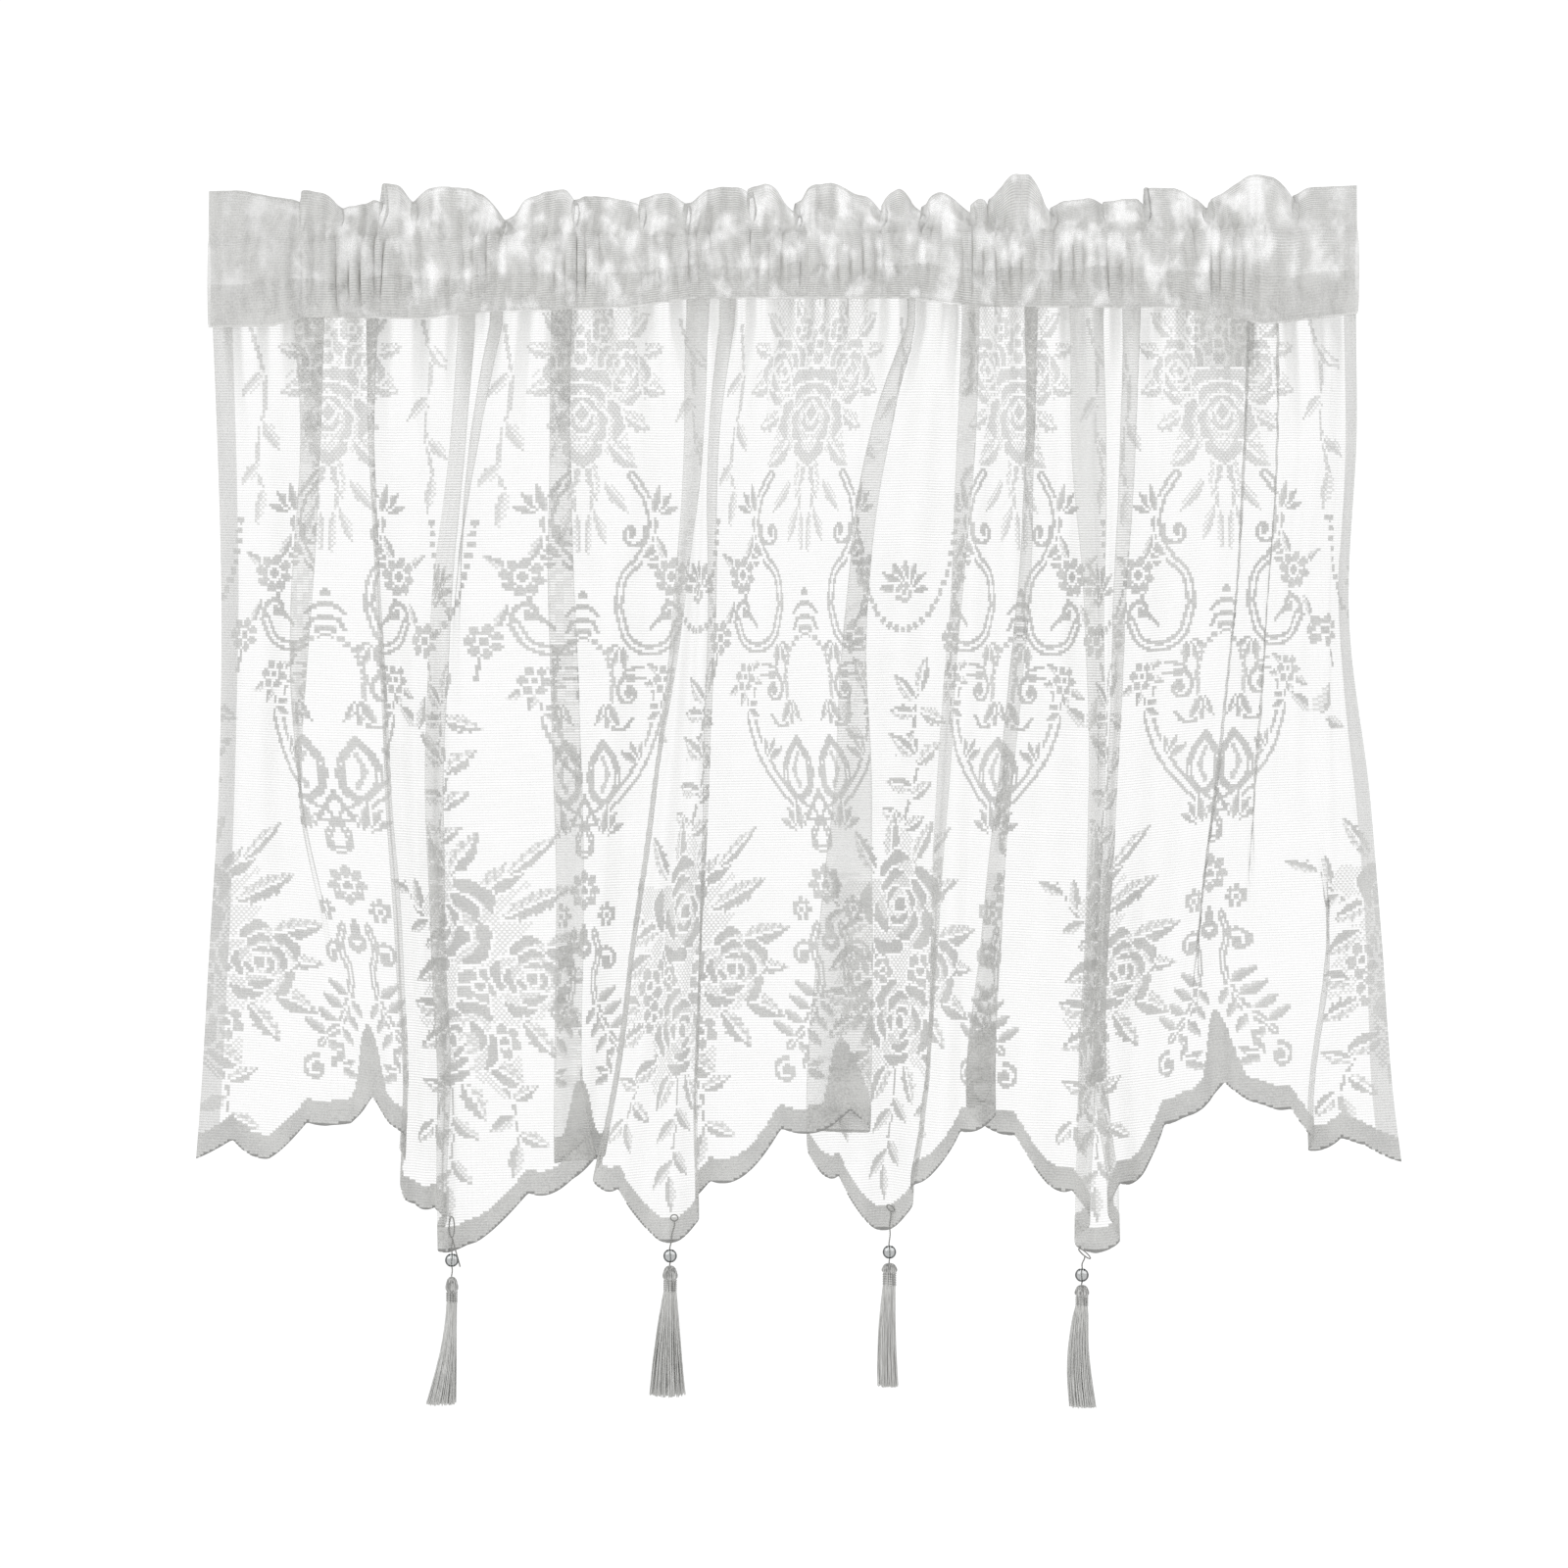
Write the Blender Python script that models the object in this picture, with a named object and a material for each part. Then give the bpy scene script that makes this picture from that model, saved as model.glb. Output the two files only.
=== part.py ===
"""Lace valance: a gathered net skirt with a scalloped hem, a heading with a frill and an empty rod pocket,
a plain flap in the pocket seam, and four beaded silk tassels hung from the points of the hem.

X runs across the window, -Y faces the room, Z is up. The origin lies on the axis of the rod pocket.
Lengths in the tables are in millimetres; the meshes are in metres.
"""

import math
from typing import NamedTuple

import bmesh
import bpy
import numpy as np

MM = 0.001
SMOOTH_ANGLE = 40.0

# Cloth: measures of the flat panel, across it (flat coordinate, 0 at its middle) and through it
HALF_REPEAT = 118.0
FLAT_LEFT = -567.0
FLAT_RIGHT = 577.0
CLOTH_THICK = 1.0
SIDE_HEM_WIDE = 11.0
SIDE_HEM_THICK = 1.8
SEAM_GAP = 0.3
SKIRT_GAP = 0.8

# Folds: radius of a crease, widest step between layers, and how a fold opens out flat
CREASE_RADIUS = 1.3
DEEPEST_FOLD = 26.0
OPENING_SPAN = 8.0
OPEN_CREASE_HALF = 2.0
BILLOW_SHARE = 0.7
DEEPEST_BILLOW = 7.0
BILLOW_STARTS = -35.0
BILLOW_FULL = -120.0

# Mesh steps: round a crease, across a fold's hidden layer, along a panel, and down the skirt
TURN_STEPS = 2
HIDDEN_STEPS = 2
PANEL_STEP = 10.0
SKIRT_ROWS = 9
LEVEL_STEP = 10.0
LOWEST_LEVEL = -590.0
HEM_PASSES = 4

# Heights at which the side edges and the folds are given, from the pocket seam to the hem
LEVELS = (-32.0, -94.0, -193.0, -307.0, -386.0, -472.0, -520.0)
LEFT_EDGE = (-326.0, -323.5, -321.0, -323.0, -327.5, -332.5, -336.0)
RIGHT_EDGE = (327.5, 328.0, 323.0, 336.0, 342.5, 348.5, 354.5)

# Which layer of a fold lies on the room side: the one that comes from the left, or the one on the right
LEFT_OVER = 1
RIGHT_OVER = -1

# One row for each fold, from left to right: its lap; the flat coordinates of its two creases at the
# pocket and at the hem; and for each level the places of its left and right creases. Where the left one
# has passed the right one the fold has opened out.
FOLDS = (
    # lap, (crease 1, crease 2) at pocket, at hem, then (left, right) at each level
    (RIGHT_OVER, (-507.0, -490.5), (-501.0, -486.0),
     ((-279.5, -262.5), (-275.5, -264.0), (-280.5, -269.0), (-274.5, -274.5), (-258.0, -262.5),
      (-247.0, -261.0), (-244.5, -259.5))),
    (LEFT_OVER, (-442.0, -434.0), (-445.0, -417.0),
     ((-237.5, -232.0), (-237.5, -233.5), (-233.5, -229.5), (-227.0, -223.0), (-222.0, -216.5),
      (-217.5, -213.5), (-219.0, -216.5))),
    (RIGHT_OVER, (-368.0, -356.5), (-387.0, -359.0),
     ((-186.0, -176.0), (-190.0, -181.0), (-201.5, -189.5), (-204.0, -195.0), (-200.0, -194.0),
      (-196.5, -191.5), (-197.0, -193.0))),
    (LEFT_OVER, (-328.5, -319.0), (-345.5, -336.0),
     ((-168.0, -159.5), (-178.5, -172.5), (-185.5, -188.0), (-180.5, -188.5), (-176.5, -185.5),
      (-173.0, -182.0), (-173.0, -182.0))),
    (LEFT_OVER, (-269.5, -256.5), (-276.0, -255.0),
     ((-133.5, -121.5), (-133.5, -121.5), (-133.5, -118.5), (-130.5, -113.5), (-130.0, -113.0),
      (-131.5, -113.0), (-130.5, -103.0))),
    (RIGHT_OVER, (-146.0, -130.0), (-215.5, -175.5),
     ((-55.5, -43.0), (-56.5, -45.0), (-62.5, -55.5), (-75.0, -73.0), (-86.0, -83.5),
      (-97.0, -95.0), (-107.0, -104.5))),
    (LEFT_OVER, (-102.0, -92.5), (-96.5, -83.5),
     ((-36.0, -28.0), (-42.5, -36.0), (-43.0, -38.5), (-45.5, -42.0), (-47.5, -45.5),
      (-51.0, -48.0), (-50.0, -47.5))),
    (LEFT_OVER, (83.5, 93.0), (3.5, 48.0),
     ((70.5, 76.0), (50.0, 62.0), (36.5, 48.5), (29.0, 50.5), (20.5, 50.5),
      (14.0, 50.0), (13.0, 48.5))),
    (RIGHT_OVER, (166.5, 184.0), (144.5, 168.0),
     ((102.5, 112.5), (99.5, 111.0), (95.0, 103.0), (86.0, 94.5), (83.5, 88.5),
      (80.0, 82.5), (73.5, 75.5))),
    (LEFT_OVER, (252.5, 260.5), (222.0, 244.0),
     ((139.0, 145.0), (139.0, 144.0), (134.0, 141.5), (121.5, 130.5), (112.5, 125.0),
      (104.5, 122.0), (107.0, 122.5))),
    (RIGHT_OVER, (317.5, 341.0), (323.5, 342.5),
     ((164.5, 182.5), (164.5, 185.0), (172.0, 185.0), (173.5, 185.0), (171.0, 182.0),
      (167.5, 178.5), (166.0, 176.5))),
    (LEFT_OVER, (391.5, 403.0), (366.0, 386.5),
     ((194.5, 203.5), (193.0, 202.0), (189.5, 195.5), (186.0, 190.5), (182.0, 186.0),
      (179.0, 185.0), (186.5, 191.0))),
    (LEFT_OVER, (494.5, 500.0), (442.5, 451.5),
     ((265.0, 266.5), (263.0, 265.0), (257.0, 258.5), (244.5, 246.5), (236.5, 236.5),
      (237.0, 229.0), (237.0, 229.0))),
    (RIGHT_OVER, (517.0, 522.0), (482.5, 489.5),
     ((282.0, 284.0), (281.5, 283.5), (275.5, 277.0), (268.0, 269.5), (269.0, 263.0),
      (273.5, 266.5), (273.5, 266.5))),
    (LEFT_OVER, (559.0, 562.0), (521.0, 532.0),
     ((316.5, 314.0), (315.5, 313.0), (309.5, 304.0), (310.0, 301.5), (311.0, 312.5),
      (300.5, 303.0), (300.0, 302.5))),
)

# Hem: the notch's height, the three scallops from notch to point, and how far the hem hangs off that
NOTCH_Z = -477.5
SCALLOPS = (
    # width, drop, sweep in degrees
    (38.0, 18.5, 100.0),
    (39.0, 30.0, 108.0),
    (41.0, 32.5, 90.0),
)
HEM_LIFT = (
    # flat coordinate, lift
    (-567.0, 37.0),
    (-549.0, 27.0),
    (-530.0, 12.0),
    (-490.0, 2.0),
    (-472.0, 3.0),
    (-354.0, -4.0),
    (-118.0, 2.0),
    (118.0, 6.0),
    (354.0, -4.5),
    (472.0, 11.0),
    (530.0, 17.0),
    (548.0, 27.0),
    (560.0, 37.0),
    (577.0, 43.0),
)

# Heading: the seam under the pocket, the pinch line over it, and the ruffles of the frill
HEADING_HALF = 328.0
HEADING_STEP = 6.8
POCKET_SEAM = (
    # x, height
    (-328.0, -33.6),
    (-292.0, -32.8),
    (-270.0, -27.8),
    (-206.0, -29.0),
    (-173.0, -25.2),
    (-89.0, -22.4),
    (-50.0, -17.0),
    (70.0, -17.0),
    (112.0, -21.8),
    (224.0, -22.6),
    (276.0, -32.0),
    (328.0, -25.6),
)
PINCH_LINE = ((-328.0, 14.6), (-111.0, 17.9), (328.0, 22.4))
PUCKER_OF_LEAN = 0.45
POCKET_OUTSIDE = (
    # half depth, share of the pocket's height, height over that, share of the pucker, share of the lean
    (5.0, 0.0, 0.0, 0.0, 0.0),
    (10.0, 0.30, 0.0, 1.0, 0.0),
    (9.2, 0.80, 0.0, 1.0, 0.0),
    (3.2, 1.0, 0.0, 0.0, 0.2),
)
POCKET_INSIDE = (
    (4.2, 0.0, 1.5, 0.0, 0.0),
    (7.5, 0.30, 0.0, 0.0, 0.0),
    (7.0, 0.72, 0.0, 0.0, 0.0),
    (3.4, 1.0, -3.6, 0.0, 0.0),
)
FRILL_OUTSIDE = (
    # half depth, share of the frill's height, height over that, share of the pucker, share of the lean
    (2.4, 0.45, 0.0, 0.0, 0.7),
    (1.5, 1.0, -1.2, 0.0, 1.0),
)
FRILL_VALLEY = 32.0
RUFFLES = (
    # middle, half width, crest height, lean towards the window
    (-320.0, 30.0, 43.7, 0.5),
    (-288.0, 14.0, 39.8, -1.5),
    (-273.5, 9.0, 43.7, 3.0),
    (-257.5, 9.0, 40.3, -2.5),
    (-225.0, 15.0, 47.0, 3.5),
    (-192.5, 26.0, 45.9, -3.0),
    (-154.5, 9.0, 36.4, 2.0),
    (-132.0, 20.0, 44.2, -3.5),
    (-108.0, 14.0, 40.3, 2.5),
    (-86.0, 14.0, 37.5, -1.5),
    (-65.0, 13.0, 42.0, 3.0),
    (-33.0, 16.0, 46.5, -3.5),
    (-8.5, 9.0, 46.5, 3.0),
    (23.0, 17.0, 48.2, -4.0),
    (45.5, 13.0, 42.0, 2.0),
    (68.0, 11.0, 45.9, -3.0),
    (89.0, 13.0, 43.1, 3.5),
    (113.0, 8.0, 40.9, -2.0),
    (136.0, 15.0, 52.1, -4.5),
    (169.0, 16.0, 41.4, 3.0),
    (188.0, 13.0, 38.6, -2.0),
    (209.5, 11.0, 44.8, 3.5),
    (225.5, 12.0, 45.4, -3.0),
    (252.5, 14.0, 44.8, 2.5),
    (272.5, 15.0, 51.5, -4.0),
    (290.5, 8.0, 46.5, 2.0),
    (309.5, 26.0, 46.5, -0.5),
)

# Plain flap, sewn into the pocket seam behind the skirt
FLAP_LEFT = 236.0
FLAP_RIGHT = 270.0
FLAP_BOTTOM = -56.5
FLAP_THICK = 1.0
FLAP_BACK = 4.3
FLAP_SPRING = 5.0
FLAP_BOW = 0.8
FLAP_COLUMNS = 6
FLAP_ROWS = 5


class Tassel(NamedTuple):
    """One tassel with its bead: the flat coordinate of the point that holds it, its places and fullness."""

    name: str
    point: float
    x: float
    bead: float
    knob_top: float
    neck_top: float
    neck_foot: float
    ends: float
    foot_x: float
    foot_half: float
    curl: float
    stout: float
    flare: float


TASSELS = (
    # name, point, x, bead, knob top, neck top, neck foot, strand ends, foot x, foot half width, curl,
    # how stout the head is, and the power of the strands' spread down their length
    Tassel("1", -354.0, -188.5, -566.8, -576.3, -584.7, -590.8, -648.3, -194.5, 8.6, 1.1, 1.05, 1.6),
    Tassel("2", -118.0, -64.1, -563.8, -569.4, -577.4, -584.1, -642.6, -65.9, 10.8, -0.4, 1.25, 0.9),
    Tassel("3", 118.0, 61.2, -564.8, -571.2, -576.7, -584.2, -641.6, 60.3, 6.2, -1.0, 1.3, 0.8),
    Tassel("4", 354.0, 170.2, -575.3, -581.0, -587.2, -593.1, -649.9, 170.7, 7.8, -2.2, 1.2, 0.6),
)
HEAD_PROFILE = (
    # radius, share of the knob above it, share of the neck above it
    (1.2, 0.0, 0.0),
    (2.3, 0.15, 0.0),
    (3.2, 0.50, 0.0),
    (3.5, 0.80, 0.0),
    (2.9, 1.0, 0.0),
    (3.1, 1.0, 0.25),
    (3.1, 1.0, 0.80),
    (3.0, 1.0, 1.0),
)
HEAD_SIDES = 10
STRANDS = 18
STRAND_ROOT = 0.34
STRAND_FOOT_SHARE = 0.30
STRAND_SIDES = 4
STRAND_STEPS = 3
ROOT_SPREAD = 2.35
ROOT_DEPTH = 2.0
GOLDEN_ANGLE = math.radians(137.508)
FOOT_UNEVEN = 1.5
FOOT_WAVES = 3.0

# Beads and threads
BEAD_RADIUS = 3.9
BEAD_HOLE = 0.9
BEAD_SIDES = 12
BEAD_RINGS = 6
BEAD_SMOOTH = 60.0
THREAD_RADIUS = 0.5
THREAD_SIDES = 6
THREAD_RISE = 15.0
THREAD_CLEAR = 0.5
THREAD_STEPS = 8

CLOTH_WHITE = (0.86, 0.86, 0.84, 1.0)
SILK_WHITE = (0.78, 0.78, 0.75, 1.0)
TAPE_WHITE = (0.80, 0.80, 0.77, 1.0)
THREAD_WHITE = (0.82, 0.82, 0.80, 1.0)
GLASS_CLEAR = (0.95, 0.97, 0.97, 1.0)


def smoothstep(value):
    """Ease from 0 to 1 as the value goes from 0 to 1."""
    t = np.clip(value, 0.0, 1.0)
    return t * t * (3.0 - 2.0 * t)


def through(places, values, at):
    """Read a smooth curve through a few values, kept level at the first and last of them."""
    places = np.asarray(places, float)[::-1]
    values = np.asarray(values, float)[::-1]
    at = np.clip(at, places[0], places[-1])
    slope = np.gradient(values, places)
    i = np.clip(np.searchsorted(places, at) - 1, 0, len(places) - 2)
    span = places[i + 1] - places[i]
    t = (at - places[i]) / span
    return (
        (2 * t**3 - 3 * t**2 + 1) * values[i]
        + (t**3 - 2 * t**2 + t) * span * slope[i]
        + (3 * t**2 - 2 * t**3) * values[i + 1]
        + (t**3 - t**2) * span * slope[i + 1]
    )


def table_line(rows, at):
    """Read the second column of a two-column table by straight lines between its rows."""
    table = np.asarray(rows, float)
    return np.interp(at, table[:, 0], table[:, 1])


def hermite(start, end, leave, arrive, steps):
    """Points of a cubic from start to end, without the last one."""
    t = (np.arange(steps) / steps)[:, None]
    return (
        (2 * t**3 - 3 * t**2 + 1) * start
        + (t**3 - 2 * t**2 + t) * leave
        + (3 * t**2 - 2 * t**3) * end
        + (t**3 - t**2) * arrive
    )


def panel_steps():
    """Number of mesh steps along each panel between folds, from its flat width at the hem."""
    ends = [FLAT_LEFT]
    for _, _, at_hem, _ in FOLDS:
        ends.extend(at_hem)
    ends.append(FLAT_RIGHT)
    return [max(2, round((ends[k + 1] - ends[k]) / PANEL_STEP)) for k in range(0, len(ends), 2)]


def billow(start, end, start_side, end_side, flat, share, steps):
    """Points of one panel, which bellies out by as much as its spare cloth allows."""
    chord = np.linalg.norm(end - start)
    level = np.array([chord, 0.0])
    points = hermite(start, end, level, level, steps)
    spare = math.sqrt(max(flat / chord - 1.0, 0.0))
    depth = min(BILLOW_SHARE * chord / math.pi * spare, DEEPEST_BILLOW) * share
    t = np.arange(steps) / steps
    side = np.where(t < 0.5, start_side, end_side)
    points[:, 1] += side * depth * np.sin(2.0 * math.pi * t) ** 2
    return points


def cross_section(z):
    """Run the cloth from its left edge to its right edge at one height.

    Gives the points (x, y) of the run and their flat coordinates.
    """
    down = (z - LEVELS[0]) / (LEVELS[-1] - LEVELS[0])
    down = min(max(down, 0.0), 1.0)
    share = float(smoothstep((z - BILLOW_STARTS) / (BILLOW_FULL - BILLOW_STARTS)))
    here = np.array([through(LEVELS, LEFT_EDGE, z), 0.0])
    here_flat = FLAT_LEFT
    here_side = LEFT_OVER
    points = []
    flats = []
    steps = panel_steps()
    for number, (lap, at_pocket, at_hem, creases) in enumerate(FOLDS):
        flat_in, flat_out = [p + (h - p) * down for p, h in zip(at_pocket, at_hem)]
        left, right = [float(through(LEVELS, [c[k] for c in creases], z)) for k in (0, 1)]
        shut = float(smoothstep((right - left + OPENING_SPAN) / OPENING_SPAN))
        radius = CREASE_RADIUS * shut
        hidden = max(flat_out - flat_in - 2.0 * math.pi * radius, 0.0)
        across = max(right - left - 2.0 * radius, 0.0)
        step = math.sqrt(max(hidden**2 - across**2, 0.0)) * shut
        step = min(4.0 * radius + step, DEEPEST_FOLD)
        spread = OPEN_CREASE_HALF * (1.0 - shut)
        turned = math.pi * shut
        crease_in = right - radius
        crease_out = left + radius
        arrive = np.array([crease_in - spread, -lap * step / 2.0])
        leave = np.array([crease_in + spread, -lap * (step / 2.0 - 2.0 * radius)])
        meet = np.array([crease_out - spread, lap * (step / 2.0 - 2.0 * radius)])
        part = np.array([crease_out + spread, lap * step / 2.0])
        back = np.array([math.cos(turned), lap * math.sin(turned)])
        ahead = np.array([1.0, 0.0])
        turn_pull = np.linalg.norm(leave - arrive) * (1.0 + shut)
        hidden_pull = np.linalg.norm(meet - leave)
        panel = billow(here, arrive, here_side, -lap, flat_in - here_flat, share, steps[number])
        points.append(panel)
        flats.append(np.linspace(here_flat, flat_in, steps[number], endpoint=False))
        points.append(hermite(arrive, leave, ahead * turn_pull, back * turn_pull, TURN_STEPS))
        points.append(hermite(leave, meet, back * hidden_pull, back * hidden_pull, HIDDEN_STEPS))
        points.append(hermite(meet, part, back * turn_pull, ahead * turn_pull, TURN_STEPS))
        fold_steps = 2 * TURN_STEPS + HIDDEN_STEPS
        flats.append(np.linspace(flat_in, flat_out, fold_steps, endpoint=False))
        here = part
        here_flat = flat_out
        here_side = lap
    end = np.array([through(LEVELS, RIGHT_EDGE, z), 0.0])
    points.append(billow(here, end, here_side, LEFT_OVER, FLAT_RIGHT - here_flat, share, steps[-1]))
    flats.append(np.linspace(here_flat, FLAT_RIGHT, steps[-1], endpoint=False))
    points.append(end[None, :])
    flats.append(np.array([FLAT_RIGHT]))
    return np.concatenate(points), np.concatenate(flats)


def scallop_drop(flat):
    """How far the hem lies under the notches, by the distance from the nearest notch."""
    along = abs((flat + HALF_REPEAT) % (2.0 * HALF_REPEAT) - HALF_REPEAT)
    drop = 0.0
    for width, depth, sweep in SCALLOPS:
        if along <= width:
            angle = math.radians(sweep)
            return drop + depth * math.sin(angle * along / width) / math.sin(angle)
        along -= width
        drop += depth
    return drop


def hem_height(flat):
    """Height of the hem at a flat coordinate."""
    return NOTCH_Z - scallop_drop(flat) + float(table_line(HEM_LIFT, flat))


class Skirt:
    """The hung shape of the skirt: its cross-sections at close heights, read between them."""

    def __init__(self):
        self.heights = np.arange(0.0, LOWEST_LEVEL - LEVEL_STEP, -LEVEL_STEP)
        runs = [cross_section(z) for z in self.heights]
        self.places = np.array([run[0] for run in runs])
        self.flats = np.array([run[1] for run in runs])
        self.columns = self.flats.shape[1]

    def read(self, table, column, z):
        """One column of a table of the cross-sections, at a height."""
        return np.interp(z, self.heights[::-1], table[::-1, column])

    def top(self, column):
        """Height of the skirt's upper edge at a column, just under the pocket seam."""
        x = self.read(self.places[:, :, 0], column, LEVELS[0])
        return float(table_line(POCKET_SEAM, x)) - SKIRT_GAP

    def foot(self, column):
        """Height of the hem at a column."""
        z = NOTCH_Z
        for _ in range(HEM_PASSES):
            z = hem_height(self.read(self.flats, column, z))
        return z

    def point(self, column, z):
        """Place of a column at a height."""
        x = self.read(self.places[:, :, 0], column, z)
        y = self.read(self.places[:, :, 1], column, z)
        return x, y, z

    def at_flat(self, flat, z):
        """Place of a flat coordinate at a height."""
        flats = [self.read(self.flats, c, z) for c in range(self.columns)]
        places = [self.point(c, z) for c in range(self.columns)]
        return np.array([np.interp(flat, flats, [p[k] for p in places]) for k in range(3)])

    def grid(self):
        """Rows of points from the pocket seam to the hem, and the cloth's thickness at each column."""
        rows = []
        tops = [self.top(c) for c in range(self.columns)]
        feet = [self.foot(c) for c in range(self.columns)]
        for share in np.linspace(0.0, 1.0, SKIRT_ROWS + 1):
            heights = [top + (foot - top) * share for top, foot in zip(tops, feet)]
            rows.append([self.point(c, z) for c, z in enumerate(heights)])
        flats = self.flats[-1]
        from_edge = np.minimum(flats - FLAT_LEFT, FLAT_RIGHT - flats)
        thick = np.where(from_edge <= SIDE_HEM_WIDE, SIDE_HEM_THICK, CLOTH_THICK)
        return np.array(rows), thick


def sheet_solid(rows, thick):
    """Closed mesh of a hanging sheet: its middle surface as rows of points, offset level to both faces."""
    across = np.gradient(rows, axis=1)
    down = np.gradient(rows, axis=0)
    normal = np.cross(across, down)
    normal[:, :, 2] = 0.0
    normal /= np.linalg.norm(normal, axis=2, keepdims=True)
    half = normal * (thick / 2.0)[None, :, None]
    count_rows, count_columns = rows.shape[:2]
    points = np.concatenate([(rows + half).reshape(-1, 3), (rows - half).reshape(-1, 3)])
    far = count_rows * count_columns

    def index(row, column):
        return row * count_columns + column

    faces = []
    for r in range(count_rows - 1):
        for c in range(count_columns - 1):
            corners = [index(r, c), index(r + 1, c), index(r + 1, c + 1), index(r, c + 1)]
            faces.append(corners[::-1])
            faces.append([far + k for k in corners])
    rim = [index(0, c) for c in range(count_columns)]
    rim += [index(r, count_columns - 1) for r in range(1, count_rows)]
    rim += [index(count_rows - 1, c) for c in range(count_columns - 2, -1, -1)]
    rim += [index(r, 0) for r in range(count_rows - 2, 0, -1)]
    for a, b in zip(rim, rim[1:] + rim[:1]):
        faces.append([a, b, far + b, far + a])
    return points, faces


def material(name, colour, roughness, transmission=0.0):
    """A Principled material."""
    made = bpy.data.materials.new(name)
    made.use_nodes = True
    shader = made.node_tree.nodes["Principled BSDF"]
    shader.inputs["Base Color"].default_value = colour
    shader.inputs["Roughness"].default_value = roughness
    shader.inputs["Metallic"].default_value = 0.0
    shader.inputs["Transmission Weight"].default_value = transmission
    return made


def add_object(name, points, faces, finish, smooth_angle=SMOOTH_ANGLE):
    """Make a named object from points in millimetres, with its faces turned outwards."""
    mesh = bpy.data.meshes.new(name)
    mesh.from_pydata([tuple(float(v) * MM for v in p) for p in points], [], faces)
    work = bmesh.new()
    work.from_mesh(mesh)
    bmesh.ops.recalc_face_normals(work, faces=work.faces)
    bmesh.ops.triangulate(work, faces=work.faces)
    work.to_mesh(mesh)
    work.free()
    mesh.materials.append(finish)
    mesh.shade_smooth()
    mesh.set_sharp_from_angle(angle=math.radians(smooth_angle))
    made = bpy.data.objects.new(name, mesh)
    bpy.context.collection.objects.link(made)
    return made


def frill(x):
    """Height and lean of the frill's top edge: the tallest ruffle that reaches this place."""
    height = FRILL_VALLEY
    lean = 0.0
    for middle, half_width, crest, back in RUFFLES:
        reach = abs(x - middle) / half_width
        if reach < 1.0:
            dome = math.sqrt(1.0 - reach * reach)
            rise = FRILL_VALLEY + (crest - FRILL_VALLEY) * dome
            if rise > height:
                height = rise
                lean = back * dome
    return height, lean


def heading_section(x):
    """Outer and inner outlines of the heading at one place, from the seam up the room side and round."""
    seam = float(table_line(POCKET_SEAM, x))
    pinch = float(table_line(PINCH_LINE, x))
    crest, lean = frill(x)

    def run(rows, foot, top, side):
        """One side's run of points, from foot to top."""
        points = []
        for half_deep, share, over, puckered, leaning in rows:
            y = side * half_deep + lean * (PUCKER_OF_LEAN * puckered + leaning)
            points.append((x, y, foot + (top - foot) * share + over))
        return points

    room = run(POCKET_OUTSIDE, seam, pinch, -1) + run(FRILL_OUTSIDE, pinch, crest, -1)
    window = run(POCKET_OUTSIDE, seam, pinch, 1) + run(FRILL_OUTSIDE, pinch, crest, 1)
    outer = room + [(x, lean, crest)] + window[::-1]
    channel = run(POCKET_INSIDE, seam, pinch, -1) + run(POCKET_INSIDE, seam, pinch, 1)[::-1]
    return outer, channel


def heading_solid():
    """Closed mesh of the frill and the open rod pocket."""
    count = round(2.0 * HEADING_HALF / HEADING_STEP)
    stations = np.linspace(-HEADING_HALF, HEADING_HALF, count + 1)
    points = []
    faces = []
    sections = [heading_section(float(x)) for x in stations]
    outer_count = len(sections[0][0])
    inner_count = len(sections[0][1])
    ring = outer_count + inner_count
    for outer, inner in sections:
        points += outer + inner
    for s in range(count):
        base, following = s * ring, (s + 1) * ring
        for k in range(outer_count):
            n = (k + 1) % outer_count
            faces.append([base + k, base + n, following + n, following + k])
        for k in range(inner_count):
            n = (k + 1) % inner_count
            a, b = outer_count + k, outer_count + n
            faces.append([base + b, base + a, following + a, following + b])
    half = inner_count // 2
    wall = list(range(half)) + list(range(outer_count - half, outer_count))
    fin = list(range(half - 1, outer_count - half + 1))
    for base, ending in ((0, False), (count * ring, True)):
        caps = [[base + k for k in fin]]
        for k in range(inner_count):
            n = (k + 1) % inner_count
            a, b = outer_count + k, outer_count + n
            caps.append([base + wall[k], base + a, base + b, base + wall[n]])
        faces += [cap[::-1] for cap in caps] if ending else caps
    return points, faces


def flap_solid():
    """Closed mesh of the plain flap, which springs back a little from the seam."""
    rows = []
    for r in range(FLAP_ROWS + 1):
        down = r / FLAP_ROWS
        row = []
        for c in range(FLAP_COLUMNS + 1):
            x = FLAP_LEFT + (FLAP_RIGHT - FLAP_LEFT) * c / FLAP_COLUMNS
            top = float(table_line(POCKET_SEAM, x)) - SEAM_GAP
            z = top + (FLAP_BOTTOM - top) * down
            bow = math.sin(math.pi * c / FLAP_COLUMNS)
            y = FLAP_BACK + FLAP_SPRING * math.sin(0.5 * math.pi * down) + FLAP_BOW * bow * down
            row.append((x, y, z))
        rows.append(row)
    rows = np.array(rows)
    return sheet_solid(rows, np.full(rows.shape[1], FLAP_THICK))


def tube(route, radii, sides, twist=0.0):
    """Points and faces of a closed tube along a route, with flat ends."""
    points = []
    for (x, y, z), radius in zip(route, radii):
        for k in range(sides):
            angle = 2.0 * math.pi * k / sides + twist
            points.append((x + radius * math.cos(angle), y + radius * math.sin(angle), z))
    faces = []
    for r in range(len(route) - 1):
        for k in range(sides):
            n = (k + 1) % sides
            faces.append([r * sides + k, r * sides + n, (r + 1) * sides + n, (r + 1) * sides + k])
    faces.append(list(range(sides))[::-1])
    last = (len(route) - 1) * sides
    faces.append([last + k for k in range(sides)])
    return points, faces


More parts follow.
